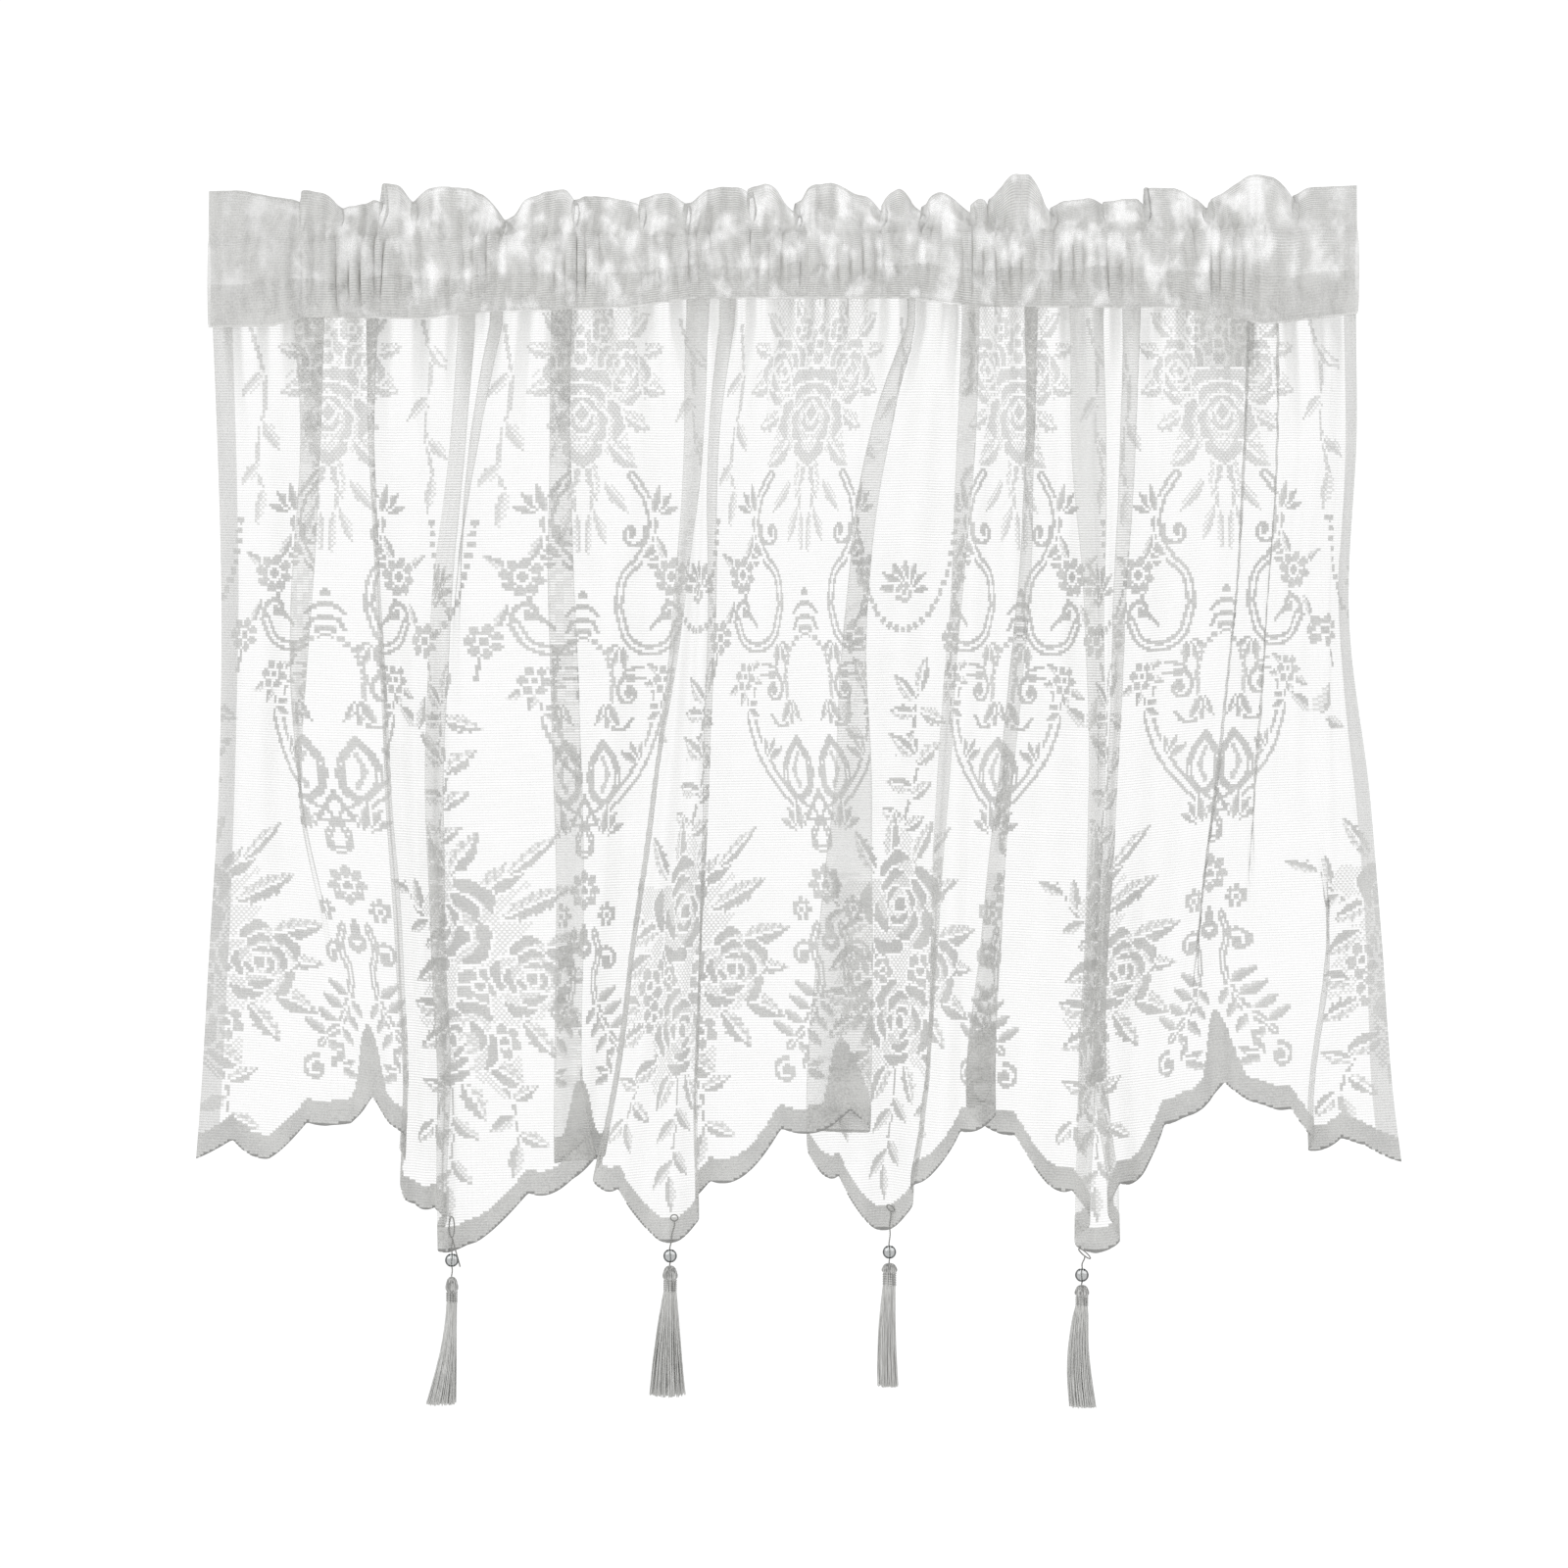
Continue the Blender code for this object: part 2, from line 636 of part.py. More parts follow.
def tassel_head(tassel, y):
    """Points and faces of the knob and the wound neck, turned about the thread."""
    knob = tassel.knob_top - tassel.neck_top
    neck = tassel.neck_top - tassel.neck_foot
    route = [(tassel.x, y, tassel.knob_top - knob * k - neck * n) for _, k, n in HEAD_PROFILE]
    return tube(route, [radius * tassel.stout for radius, _, _ in HEAD_PROFILE], HEAD_SIDES)


def strand_route(number, tassel, y):
    """Route of one strand from inside the neck to its end, and its radii."""
    angle = number * GOLDEN_ANGLE
    share = math.sqrt((number + 0.5) / STRANDS)
    root = ROOT_SPREAD * tassel.stout * share
    foot = tassel.foot_half * share
    top = tassel.neck_foot + ROOT_DEPTH
    end = tassel.ends + FOOT_UNEVEN * math.sin(FOOT_WAVES * angle)
    tip = max(STRAND_FOOT_SHARE * tassel.foot_half * math.sqrt(math.pi / STRANDS), STRAND_ROOT)
    route = []
    radii = []
    for k in range(STRAND_STEPS + 1):
        t = k / STRAND_STEPS
        away = root + (foot - root) * t**tassel.flare
        middle = tassel.x + (tassel.foot_x - tassel.x) * t + tassel.curl * math.sin(math.pi * t)
        route.append((middle + away * math.cos(angle), y + away * math.sin(angle), top + (end - top) * t))
        radii.append(STRAND_ROOT + (tip - STRAND_ROOT) * t)
    return route, radii


def make_tassel(tassel, y, finish):
    """One tassel: the head, with the roots of its strands fused into it."""
    head = add_object("tassel_" + tassel.name, *tassel_head(tassel, y), finish)
    all_points = []
    all_faces = []
    for number in range(STRANDS):
        route, radii = strand_route(number, tassel, y)
        points, faces = tube(route, radii, STRAND_SIDES, number * GOLDEN_ANGLE)
        all_faces += [[k + len(all_points) for k in face] for face in faces]
        all_points += points
    strands = add_object("strands_" + tassel.name, all_points, all_faces, finish)
    strands.hide_render = True
    strands.display_type = "WIRE"
    join = head.modifiers.new("strands", "BOOLEAN")
    join.operation = "UNION"
    join.solver = "EXACT"
    join.object = strands
    return head


def make_bead(tassel, y, finish):
    """One clear bead, bored for its thread."""
    points = []
    faces = []
    start = math.asin(BEAD_HOLE / BEAD_RADIUS)
    rings = BEAD_RINGS + 1
    for r in range(rings):
        polar = start + (math.pi - 2.0 * start) * r / BEAD_RINGS
        radius = BEAD_RADIUS * math.sin(polar)
        z = tassel.bead + BEAD_RADIUS * math.cos(polar)
        base = r * BEAD_SIDES
        following = (r + 1) % rings * BEAD_SIDES
        for k in range(BEAD_SIDES):
            n = (k + 1) % BEAD_SIDES
            angle = 2.0 * math.pi * k / BEAD_SIDES
            points.append((tassel.x + radius * math.cos(angle), y + radius * math.sin(angle), z))
            faces.append([base + k, base + n, following + n, following + k])
    return add_object("bead_" + tassel.name, points, faces, finish, BEAD_SMOOTH)


def make_thread(tassel, y, hem_z, hem_x, finish):
    """The thread from its knot on the cloth, over the hem and through the bead to the tassel's head."""
    top = hem_z + THREAD_RISE
    end = tassel.knob_top + SEAM_GAP
    bead_top = tassel.bead + BEAD_RADIUS
    route = []
    for k in range(THREAD_STEPS + 1):
        z = top + (end - top) * k / THREAD_STEPS
        lean = float(smoothstep((z - bead_top) / (top - bead_top)))
        route.append((tassel.x + (hem_x - tassel.x) * lean, y, z))
    points, faces = tube(route, [THREAD_RADIUS] * len(route), THREAD_SIDES)
    return add_object("thread_" + tassel.name, points, faces, finish)


def main():
    """Build the valance."""
    for old in list(bpy.data.objects):
        bpy.data.objects.remove(old, do_unlink=True)
    lace = material("lace_cloth", CLOTH_WHITE, 0.85)
    silk = material("tassel_silk", SILK_WHITE, 0.45)
    tape = material("tape_cloth", TAPE_WHITE, 0.8)
    cotton = material("sewing_thread", THREAD_WHITE, 0.6)
    glass = material("clear_glass", GLASS_CLEAR, 0.05, 0.9)
    skirt = Skirt()
    add_object("skirt", *sheet_solid(*skirt.grid()), lace)
    add_object("heading", *heading_solid(), lace)
    add_object("flap", *flap_solid(), tape)
    for tassel in TASSELS:
        hem_z = hem_height(tassel.point)
        hem_x, hem_y, _ = skirt.at_flat(tassel.point, hem_z)
        y = hem_y - CLOTH_THICK / 2.0 - THREAD_CLEAR - THREAD_RADIUS
        make_thread(tassel, y, hem_z, hem_x, cotton)
        make_bead(tassel, y, glass)
        make_tassel(tassel, y, silk)


if __name__ == "__main__":
    main()
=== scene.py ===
"""Lace valance, dressed: gathered net with a woven rose-and-scroll pattern, a frilled heading over an empty
rod pocket, a plain flap in the pocket seam, and four beaded silk tassels.

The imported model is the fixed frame. X runs across the window, -Y faces the room, Z is up, and the origin
lies on the axis of the rod pocket. Tables are in millimetres; meshes are in metres. A place on the cloth is
given by its flat coordinate, 0 at the middle of the panel, and its height.
"""

from __future__ import annotations

import logging
import math
from dataclasses import dataclass, field
from enum import Enum

import bpy
import numpy as np
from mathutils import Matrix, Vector

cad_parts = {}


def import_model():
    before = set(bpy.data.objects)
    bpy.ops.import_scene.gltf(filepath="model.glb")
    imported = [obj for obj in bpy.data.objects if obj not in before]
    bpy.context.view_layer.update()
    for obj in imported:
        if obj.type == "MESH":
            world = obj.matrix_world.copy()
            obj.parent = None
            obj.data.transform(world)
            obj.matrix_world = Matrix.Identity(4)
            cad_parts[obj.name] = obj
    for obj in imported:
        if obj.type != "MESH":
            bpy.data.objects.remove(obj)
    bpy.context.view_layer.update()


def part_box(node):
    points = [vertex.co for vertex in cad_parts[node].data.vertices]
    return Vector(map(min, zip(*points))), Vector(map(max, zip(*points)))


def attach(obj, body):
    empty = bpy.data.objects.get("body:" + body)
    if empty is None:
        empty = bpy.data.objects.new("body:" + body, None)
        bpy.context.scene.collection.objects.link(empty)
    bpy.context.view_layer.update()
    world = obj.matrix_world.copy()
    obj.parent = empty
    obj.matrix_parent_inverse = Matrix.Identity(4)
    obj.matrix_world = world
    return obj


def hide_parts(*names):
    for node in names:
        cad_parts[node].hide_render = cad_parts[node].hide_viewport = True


LOG = logging.getLogger("lace_valance")
MM = 0.001
BODY = "root"
TURN = 2.0 * math.pi

# Range of a random phase, the least length to divide by, and what keeps a place off a grid's last point
PHASES = (0.0, 6.3)
TINY = 1e-6
JUST_INSIDE = 1.001

Array = np.ndarray
Piece = bpy.types.Object
Material = bpy.types.Material
Socket = bpy.types.NodeSocket
Place = tuple[float, float]
Colour = tuple[float, float, float]

# Cloth: measures of the flat panel
HALF_REPEAT = 118.0
FLAT_LEFT = -567.0
FLAT_RIGHT = 577.0
FLAT_WIDE = FLAT_RIGHT - FLAT_LEFT
SIDE_HEM_WIDE = 11.0
SKIRT_GAP = 0.8

# Folds: as in the solids
CREASE_RADIUS = 1.3
DEEPEST_FOLD = 26.0
OPENING_SPAN = 8.0
OPEN_CREASE_HALF = 2.0
BILLOW_SHARE = 0.7
DEEPEST_BILLOW = 7.0
BILLOW_STARTS = -35.0
BILLOW_FULL = -120.0

LEVELS = (-32, -94, -193, -307, -386, -472, -520)
LEFT_EDGE = (-326, -323.5, -321, -323, -327.5, -332.5, -336)
RIGHT_EDGE = (327.5, 328, 323, 336, 342.5, 348.5, 354.5)


class Lap(Enum):
    """Which layer of a fold lies on the room side."""

    LEFT_OVER = 1
    RIGHT_OVER = -1


LEFT_OVER = Lap.LEFT_OVER
RIGHT_OVER = Lap.RIGHT_OVER

FOLDS = (
    # lap, (crease 1, crease 2) at pocket, at hem, then (left, right) at each level
    (RIGHT_OVER, (-507, -490.5), (-501, -486),
     ((-279.5, -262.5), (-275.5, -264), (-280.5, -269), (-274.5, -274.5), (-258, -262.5),
      (-247, -261), (-244.5, -259.5))),
    (LEFT_OVER, (-442, -434), (-445, -417),
     ((-237.5, -232), (-237.5, -233.5), (-233.5, -229.5), (-227, -223), (-222, -216.5),
      (-217.5, -213.5), (-219, -216.5))),
    (RIGHT_OVER, (-368, -356.5), (-387, -359),
     ((-186, -176), (-190, -181), (-201.5, -189.5), (-204, -195), (-200, -194),
      (-196.5, -191.5), (-197, -193))),
    (LEFT_OVER, (-328.5, -319), (-345.5, -336),
     ((-168, -159.5), (-178.5, -172.5), (-185.5, -188), (-180.5, -188.5), (-176.5, -185.5),
      (-173, -182), (-173, -182))),
    (LEFT_OVER, (-269.5, -256.5), (-276, -255),
     ((-133.5, -121.5), (-133.5, -121.5), (-133.5, -118.5), (-130.5, -113.5), (-130, -113),
      (-131.5, -113), (-130.5, -103))),
    (RIGHT_OVER, (-146, -130), (-215.5, -175.5),
     ((-55.5, -43), (-56.5, -45), (-62.5, -55.5), (-75, -73), (-86, -83.5),
      (-97, -95), (-107, -104.5))),
    (LEFT_OVER, (-102, -92.5), (-96.5, -83.5),
     ((-36, -28), (-42.5, -36), (-43, -38.5), (-45.5, -42), (-47.5, -45.5),
      (-51, -48), (-50, -47.5))),
    (LEFT_OVER, (83.5, 93), (3.5, 48),
     ((70.5, 76), (50, 62), (36.5, 48.5), (29, 50.5), (20.5, 50.5),
      (14, 50), (13, 48.5))),
    (RIGHT_OVER, (166.5, 184), (144.5, 168),
     ((102.5, 112.5), (99.5, 111), (95, 103), (86, 94.5), (83.5, 88.5),
      (80, 82.5), (73.5, 75.5))),
    (LEFT_OVER, (252.5, 260.5), (222, 244),
     ((139, 145), (139, 144), (134, 141.5), (121.5, 130.5), (112.5, 125),
      (104.5, 122), (107, 122.5))),
    (RIGHT_OVER, (317.5, 341), (323.5, 342.5),
     ((164.5, 182.5), (164.5, 185), (172, 185), (173.5, 185), (171, 182),
      (167.5, 178.5), (166, 176.5))),
    (LEFT_OVER, (391.5, 403), (366, 386.5),
     ((194.5, 203.5), (193, 202), (189.5, 195.5), (186, 190.5), (182, 186),
      (179, 185), (186.5, 191))),
    (LEFT_OVER, (494.5, 500), (442.5, 451.5),
     ((265, 266.5), (263, 265), (257, 258.5), (244.5, 246.5), (236.5, 236.5),
      (237, 229), (237, 229))),
    (RIGHT_OVER, (517, 522), (482.5, 489.5),
     ((282, 284), (281.5, 283.5), (275.5, 277), (268, 269.5), (269, 263),
      (273.5, 266.5), (273.5, 266.5))),
    (LEFT_OVER, (559, 562), (521, 532),
     ((316.5, 314), (315.5, 313), (309.5, 304), (310, 301.5), (311, 312.5),
      (300.5, 303), (300, 302.5))),
)

# Hem: the notch's height, the three scallops from notch to point, and how far the hem hangs off that
NOTCH_Z = -477.5
SCALLOPS = (
    # width, drop, sweep in degrees
    (38, 18.5, 100),
    (39, 30, 108),
    (41, 32.5, 90),
)
HEM_LIFT = (
    # flat coordinate, lift
    (-567, 37), (-549, 27), (-530, 12), (-490, 2), (-472, 3), (-445, 1),
    (-417, -15), (-410, -12), (-395, -13), (-388, -9), (-380, -3), (-354, -4),
    (-290, -3), (-272, -12), (-236, -30), (-208, -13), (-175, 0), (-118, 2),
    (-40, 4), (-14, -4), (8, -5), (40, 4), (118, 6), (354, -4.5), (472, 11),
    (530, 17), (548, 27), (560, 37), (577, 43),
)

# Heading: the seam under the pocket and the pinch line over it
HEADING_HALF = 328.0
POCKET_SEAM = (
    # x, height
    (-328, -33.6), (-292, -32.8), (-270, -27.8), (-206, -29), (-173, -25.2), (-89, -22.4),
    (-50, -17), (70, -17), (112, -21.8), (224, -22.6), (276, -32), (328, -25.6),
)
PINCH_LINE = ((-328, 14.6), (-111, 17.9), (328, 22.4))

# Share of yarn in the bare net and in the heading, and the steepest slant that still closes them up
NET_YARN = 0.22
HEADING_YARN = 0.36
SLANT_LIMIT = 0.22


def smoothstep(value: Array | float) -> Array:
    """Ease from 0 to 1 as the value goes from 0 to 1."""
    t = np.clip(value, 0.0, 1.0)
    return t * t * (3.0 - 2.0 * t)


def cubic(t: Array | float, start: object, leave: object, end: object, arrive: object) -> object:
    """Read a cubic between two values.

    Args:
        t: Share of the way, from 0 to 1.
        start: First value or point.
        leave: Pull at the start.
        end: Last value or point.
        arrive: Pull at the end.

    Returns:
        The cubic's value or points.
    """
    return (
        (2 * t**3 - 3 * t**2 + 1) * start
        + (t**3 - 2 * t**2 + t) * leave
        + (3 * t**2 - 2 * t**3) * end
        + (t**3 - t**2) * arrive
    )


def through(places: tuple, values: tuple | list, at: float) -> float:
    """Read a smooth curve through a few values, kept level at the first and last of them.

    Args:
        places: Falling heights at which the values are given.
        values: One value for each height.
        at: Height to read.

    Returns:
        The curve's value there.
    """
    across = np.asarray(places, float)[::-1]
    given = np.asarray(values, float)[::-1]
    at = min(max(at, across[0]), across[-1])
    slope = np.gradient(given, across)
    i = int(np.clip(np.searchsorted(across, at) - 1, 0, len(across) - 2))
    span = across[i + 1] - across[i]
    t = (at - across[i]) / span
    return float(cubic(t, given[i], span * slope[i], given[i + 1], span * slope[i + 1]))


def table_line(rows: tuple, at: Array | float) -> Array:
    """Read the second column of a two-column table by straight lines between its rows."""
    table = np.asarray(rows, float)
    return np.interp(at, table[:, 0], table[:, 1])


def even_shares(count: int) -> Array:
    """Even shares of the way from 0, without the last one, one row each."""
    return (np.arange(count) / count)[:, None]


def swing(foot: Place, reach: float, way: float) -> Place:
    """The place at a distance from a foot, in a direction in radians."""
    return (foot[0] + reach * math.cos(way), foot[1] + reach * math.sin(way))


def from_notch(flat: Array) -> Array:
    """Distance along the cloth from the nearest notch."""
    return np.abs((flat + HALF_REPEAT) % (2.0 * HALF_REPEAT) - HALF_REPEAT)


def scallop_drop(flat: Array) -> Array:
    """How far the hem lies under the notches.

    Args:
        flat: Flat coordinates.

    Returns:
        The drop at each of them.
    """
    along = from_notch(flat)
    drop = np.zeros_like(along)
    start = 0.0
    base = 0.0
    for width, depth, sweep in SCALLOPS:
        angle = math.radians(sweep)
        share = np.clip((along - start) / width, 0.0, 1.0)
        inside = along >= start
        drop = np.where(inside, base + depth * np.sin(angle * share) / math.sin(angle), drop)
        start += width
        base += depth
    return drop


def hem_height(flat: Array) -> Array:
    """Height of the hem at flat coordinates."""
    return NOTCH_Z - scallop_drop(flat) + table_line(HEM_LIFT, flat)


@dataclass
class Drape:
    """How the cloth hangs: where each flat coordinate lies at each height.

    The folds of the solids are repeated here in finer steps, with the small puckers that the gathering
    pulls in under the pocket and the faint slack waves of the panels.
    """

    turn_steps: int = 6
    hidden_steps: int = 4
    panel_step: float = 3.6
    level_step: float = 4.0
    flat_step: float = 0.5
    pucker_deep: float = 0.9
    pucker_fades: float = 34.0
    wave_deep: float = 0.8
    pucker_top: float = -28.0
    wave_starts: float = -60.0
    wave_over: float = 120.0
    heights: Array = field(init=False)
    flats: Array = field(init=False)
    places: Array = field(init=False)

    def __post_init__(self) -> None:
        """Work out the cross-sections and read them at even flat coordinates."""
        self.heights = np.arange(0.0, -600.0, -self.level_step)
        self.flats = np.arange(FLAT_LEFT, FLAT_RIGHT + self.flat_step / 2.0, self.flat_step)
        runs = [self.section(float(z)) for z in self.heights]
        self.places = np.array([[np.interp(self.flats, f, p[:, k]) for k in (0, 1)] for p, f in runs])

    def panels(self) -> list[int]:
        """Count the steps along each panel between folds.

        Returns:
            The numbers, from left to right.
        """
        ends = [FLAT_LEFT]
        for _, _, at_hem, _ in FOLDS:
            ends.extend(at_hem)
        ends.append(FLAT_RIGHT)
        return [max(2, round((ends[k + 1] - ends[k]) / self.panel_step)) for k in range(0, len(ends), 2)]

    def billow(
        self, start: Array, end: Array, sides: tuple[int, int], flat: float, share: float,
        steps: int,
    ) -> Array:
        """Points of one panel, which bellies out by as much as its spare cloth allows.

        Args:
            start: Left end of the panel.
            end: Right end of the panel.
            sides: Way in which the left and the right half bellies out.
            flat: Flat width of the panel.
            share: How freely it may belly out, from 0 to 1.
            steps: Number of points.

        Returns:
            The points, without the right end.
        """
        chord = float(np.linalg.norm(end - start))
        level = np.array([chord, 0.0])
        t = even_shares(steps)
        points = cubic(t, start, level, end, level)
        spare = math.sqrt(max(flat / chord - 1.0, 0.0))
        depth = min(BILLOW_SHARE * chord / math.pi * spare, DEEPEST_BILLOW) * share
        bulge = depth * np.sin(TURN * t) ** 2
        points[:, 1:] += np.where(t < 0.5, *sides) * bulge
        return points

    def section(self, z: float) -> tuple[Array, Array]:
        """Run the cloth from its left edge to its right edge at one height.

        Args:
            z: Height of the cross-section.

        Returns:
            The points (x, y) of the run, and their flat coordinates.
        """
        down = min(max((z - LEVELS[0]) / (LEVELS[-1] - LEVELS[0]), 0.0), 1.0)
        share = float(smoothstep((z - BILLOW_STARTS) / (BILLOW_FULL - BILLOW_STARTS)))
        here = np.array([through(LEVELS, LEFT_EDGE, z), 0.0])
        here_flat = FLAT_LEFT
        here_side = LEFT_OVER.value
        points = []
        flats = []
        steps = self.panels()
        turning, hiding = even_shares(self.turn_steps), even_shares(self.hidden_steps)
        ahead = np.array([1.0, 0.0])
        for number, (way, at_pocket, at_hem, creases) in enumerate(FOLDS):
            lap = way.value
            flat_in, flat_out = [p + (h - p) * down for p, h in zip(at_pocket, at_hem)]
            left, right = [through(LEVELS, [c[k] for c in creases], z) for k in (0, 1)]
            shut = float(smoothstep((right - left + OPENING_SPAN) / OPENING_SPAN))
            radius = CREASE_RADIUS * shut
            hidden = max(flat_out - flat_in - TURN * radius, 0.0)
            across = max(right - left - 2.0 * radius, 0.0)
            step = math.sqrt(max(hidden**2 - across**2, 0.0)) * shut
            step = min(4.0 * radius + step, DEEPEST_FOLD)
            spread = OPEN_CREASE_HALF * (1.0 - shut)
            turned = math.pi * shut
            crease_in = right - radius
            crease_out = left + radius
            arrive = np.array([crease_in - spread, -lap * step / 2.0])
            leave = np.array([crease_in + spread, -lap * (step / 2.0 - 2.0 * radius)])
            meet = np.array([crease_out - spread, lap * (step / 2.0 - 2.0 * radius)])
            part = np.array([crease_out + spread, lap * step / 2.0])
            back = np.array([math.cos(turned), lap * math.sin(turned)])
            turn_pull = np.linalg.norm(leave - arrive) * (1.0 + shut)
            hidden_pull = np.linalg.norm(meet - leave)
            wide = flat_in - here_flat
            points.append(self.billow(here, arrive, (here_side, -lap), wide, share, steps[number]))
            flats.append(np.linspace(here_flat, flat_in, steps[number], endpoint=False))
            points.append(cubic(turning, arrive, ahead * turn_pull, leave, back * turn_pull))
            points.append(cubic(hiding, leave, back * hidden_pull, meet, back * hidden_pull))
            points.append(cubic(turning, meet, back * turn_pull, part, ahead * turn_pull))
            fold_steps = 2 * self.turn_steps + self.hidden_steps
            flats.append(np.linspace(flat_in, flat_out, fold_steps, endpoint=False))
            here = part
            here_flat = flat_out
            here_side = lap
        end = np.array([through(LEVELS, RIGHT_EDGE, z), 0.0])
        sides = (here_side, LEFT_OVER.value)
        points.append(self.billow(here, end, sides, FLAT_RIGHT - here_flat, share, steps[-1]))
        flats.append(np.linspace(here_flat, FLAT_RIGHT, steps[-1], endpoint=False))
        points.append(end[None, :])
        flats.append(np.array([FLAT_RIGHT]))
        return np.concatenate(points), np.concatenate(flats)

    def slack(self, flat: Array, z: Array) -> Array:
        """How far the cloth stands off its folds: puckers under the pocket, and slack waves lower down.

        Args:
            flat: Flat coordinates.
            z: Heights.

        Returns:
            The distances, towards the window where they are more than 0.
        """
        near = np.exp((z - self.pucker_top) / self.pucker_fades)
        pucker = np.sin(flat * 0.52 + 1.7 * np.sin(flat * 0.071)) + 0.6 * np.sin(flat * 0.83 + z * 0.02)
        free = smoothstep((self.wave_starts - z) / self.wave_over)
        wave = np.sin(flat * 0.115 + 1.3 * np.sin(z * 0.011) + 0.8 * np.sin(flat * 0.017))
        ripple = 0.35 * np.sin(z * 0.055 + flat * 0.03)
        return self.pucker_deep * near * pucker + self.wave_deep * free * (wave + ripple)

    def hang(self, flat: Array, z: Array, proud: float = 0.0) -> Array:
        """Places of cloth points.

        Args:
            flat: Flat coordinates.
            z: Their heights.
            proud: How far in front of the cloth's middle the points lie.

        Returns:
            Points in millimetres, with one more axis than flat has.
        """
        row = np.clip(-z / self.level_step, 0.0, len(self.heights) - JUST_INSIDE)
        column = np.clip((flat - FLAT_LEFT) / self.flat_step, 0.0, len(self.flats) - JUST_INSIDE)
        r, c = row.astype(int), column.astype(int)
        tr, tc = (row - r)[..., None], (column - c)[..., None]
        grid = self.places
        above = grid[r, :, c] * (1.0 - tc) + grid[r, :, c + 1] * tc
        below = grid[r + 1, :, c] * (1.0 - tc) + grid[r + 1, :, c + 1] * tc
        place = above * (1.0 - tr) + below * tr
        reach = 2
        last = len(self.flats) - 1
        run = grid[r, :, np.minimum(c + reach, last)] - grid[r, :, np.maximum(c - reach, 0)]
        run = run / np.maximum(np.linalg.norm(run, axis=-1, keepdims=True), TINY)
        off = proud - self.slack(flat, z)
        place = place + np.stack([run[..., 1], -run[..., 0]], axis=-1) * off[..., None]
        return np.concatenate([place, z[..., None]], axis=-1)

    def top(self, flat: Array) -> Array:
        """Height of the skirt's upper edge, just under the pocket seam."""
        x = self.hang(flat, np.full_like(flat, LEVELS[0]))[..., 0]
        return table_line(POCKET_SEAM, x) - SKIRT_GAP


def flat_mesh(name: str, points: Array, faces: Array) -> Piece:
    """Make an object from points in millimetres and four-cornered faces.

    Args:
        name: Name of the piece.
        points: One row a point.
        faces: One row of four point numbers a face.

    Returns:
        The new object, at the origin.
    """
    mesh = bpy.data.meshes.new(name)
    mesh.from_pydata((points * MM).tolist(), [], faces.tolist())
    mesh.shade_smooth()
    made = bpy.data.objects.new(name, mesh)
    bpy.context.collection.objects.link(made)
    return made


def set_uv(piece: Piece, flat: Array, length: Array) -> None:
    """Give a piece of cloth a UV map in flat metres.

    Args:
        piece: The cloth.
        flat: Flat coordinate of each point, in millimetres.
        length: Place of each point down the cloth, in millimetres.
    """
    layer = piece.data.uv_layers.new(name="cloth")
    corner = np.empty(len(piece.data.loops), int)
    piece.data.loops.foreach_get("vertex_index", corner)
    both = np.stack([flat, length], axis=-1) * MM
    layer.data.foreach_set("uv", both[corner].ravel())


def set_worked(piece: Piece, values: Array, domain: str) -> None:
    """Store how closely the lace is worked: 0 is bare, 1 is close, and more the bound edge, painted as
    shade.
    """
    made = piece.data.attributes.new("worked", "FLOAT", domain)
    made.data.foreach_set("value", values.astype(np.float32).ravel())


def crowded(piece: Piece, yarn: float) -> Array:
    """How much closer the net is where gathers and creases turn it edgewise to the room.

    Args:
        piece: The cloth.
        yarn: Share of the flat net that is yarn.

    Returns:
        The closeness of each point, from 0 on flat cloth towards 1 on a crease.
    """
    normal = np.zeros(3 * len(piece.data.vertices))
    piece.data.vertex_normals.foreach_get("vector", normal)
    faces_room = np.maximum(np.abs(normal[1::3]), SLANT_LIMIT)
    return 1.0 - (1.0 - yarn) ** (1.0 / faces_room - 1.0)


def grid_faces(rows: int, columns: int) -> Array:
    """Faces of a sheet whose points are stored row by row.

    Args:
        rows: Number of rows of points.
        columns: Number of points in a row.

    Returns:
        Four point numbers for each face.
    """
    r, c = np.meshgrid(np.arange(rows - 1), np.arange(columns - 1), indexing="ij")
    first = (r * columns + c).ravel()
    return np.stack([first, first + columns, first + columns + 1, first + 1], axis=-1)


def fit(piece: Piece, finish: Material, slot: str, *nodes: str) -> Piece:
    """Finish a piece and set it on the frame.

    Args:
        piece: The piece, in place.
        finish: Its material.
        slot: The record's material slot; not used.
        nodes: Solids that it stands for.

    Returns:
        The same piece.
    """
    piece.data.materials.clear()
    piece.data.materials.append(finish)
    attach(piece, BODY)
    if nodes:
        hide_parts(*nodes)
    LOG.info("%s: %d faces", piece.name, len(piece.data.polygons))
    return piece


# Rings of a rose: petals, their reach and their size as shares of its radius, how closely they are worked
ROSE_RINGS = ((5, 0.62, 0.46, 0.40), (4, 0.36, 0.37, 0.55), (3, 0.16, 0.25, 0.35))
ROSE_HEART = 0.15


class Axis(Enum):
    """The upright line of the repeat that a motif is charted from."""

    NOTCH = "notch"
    POINT = "point"


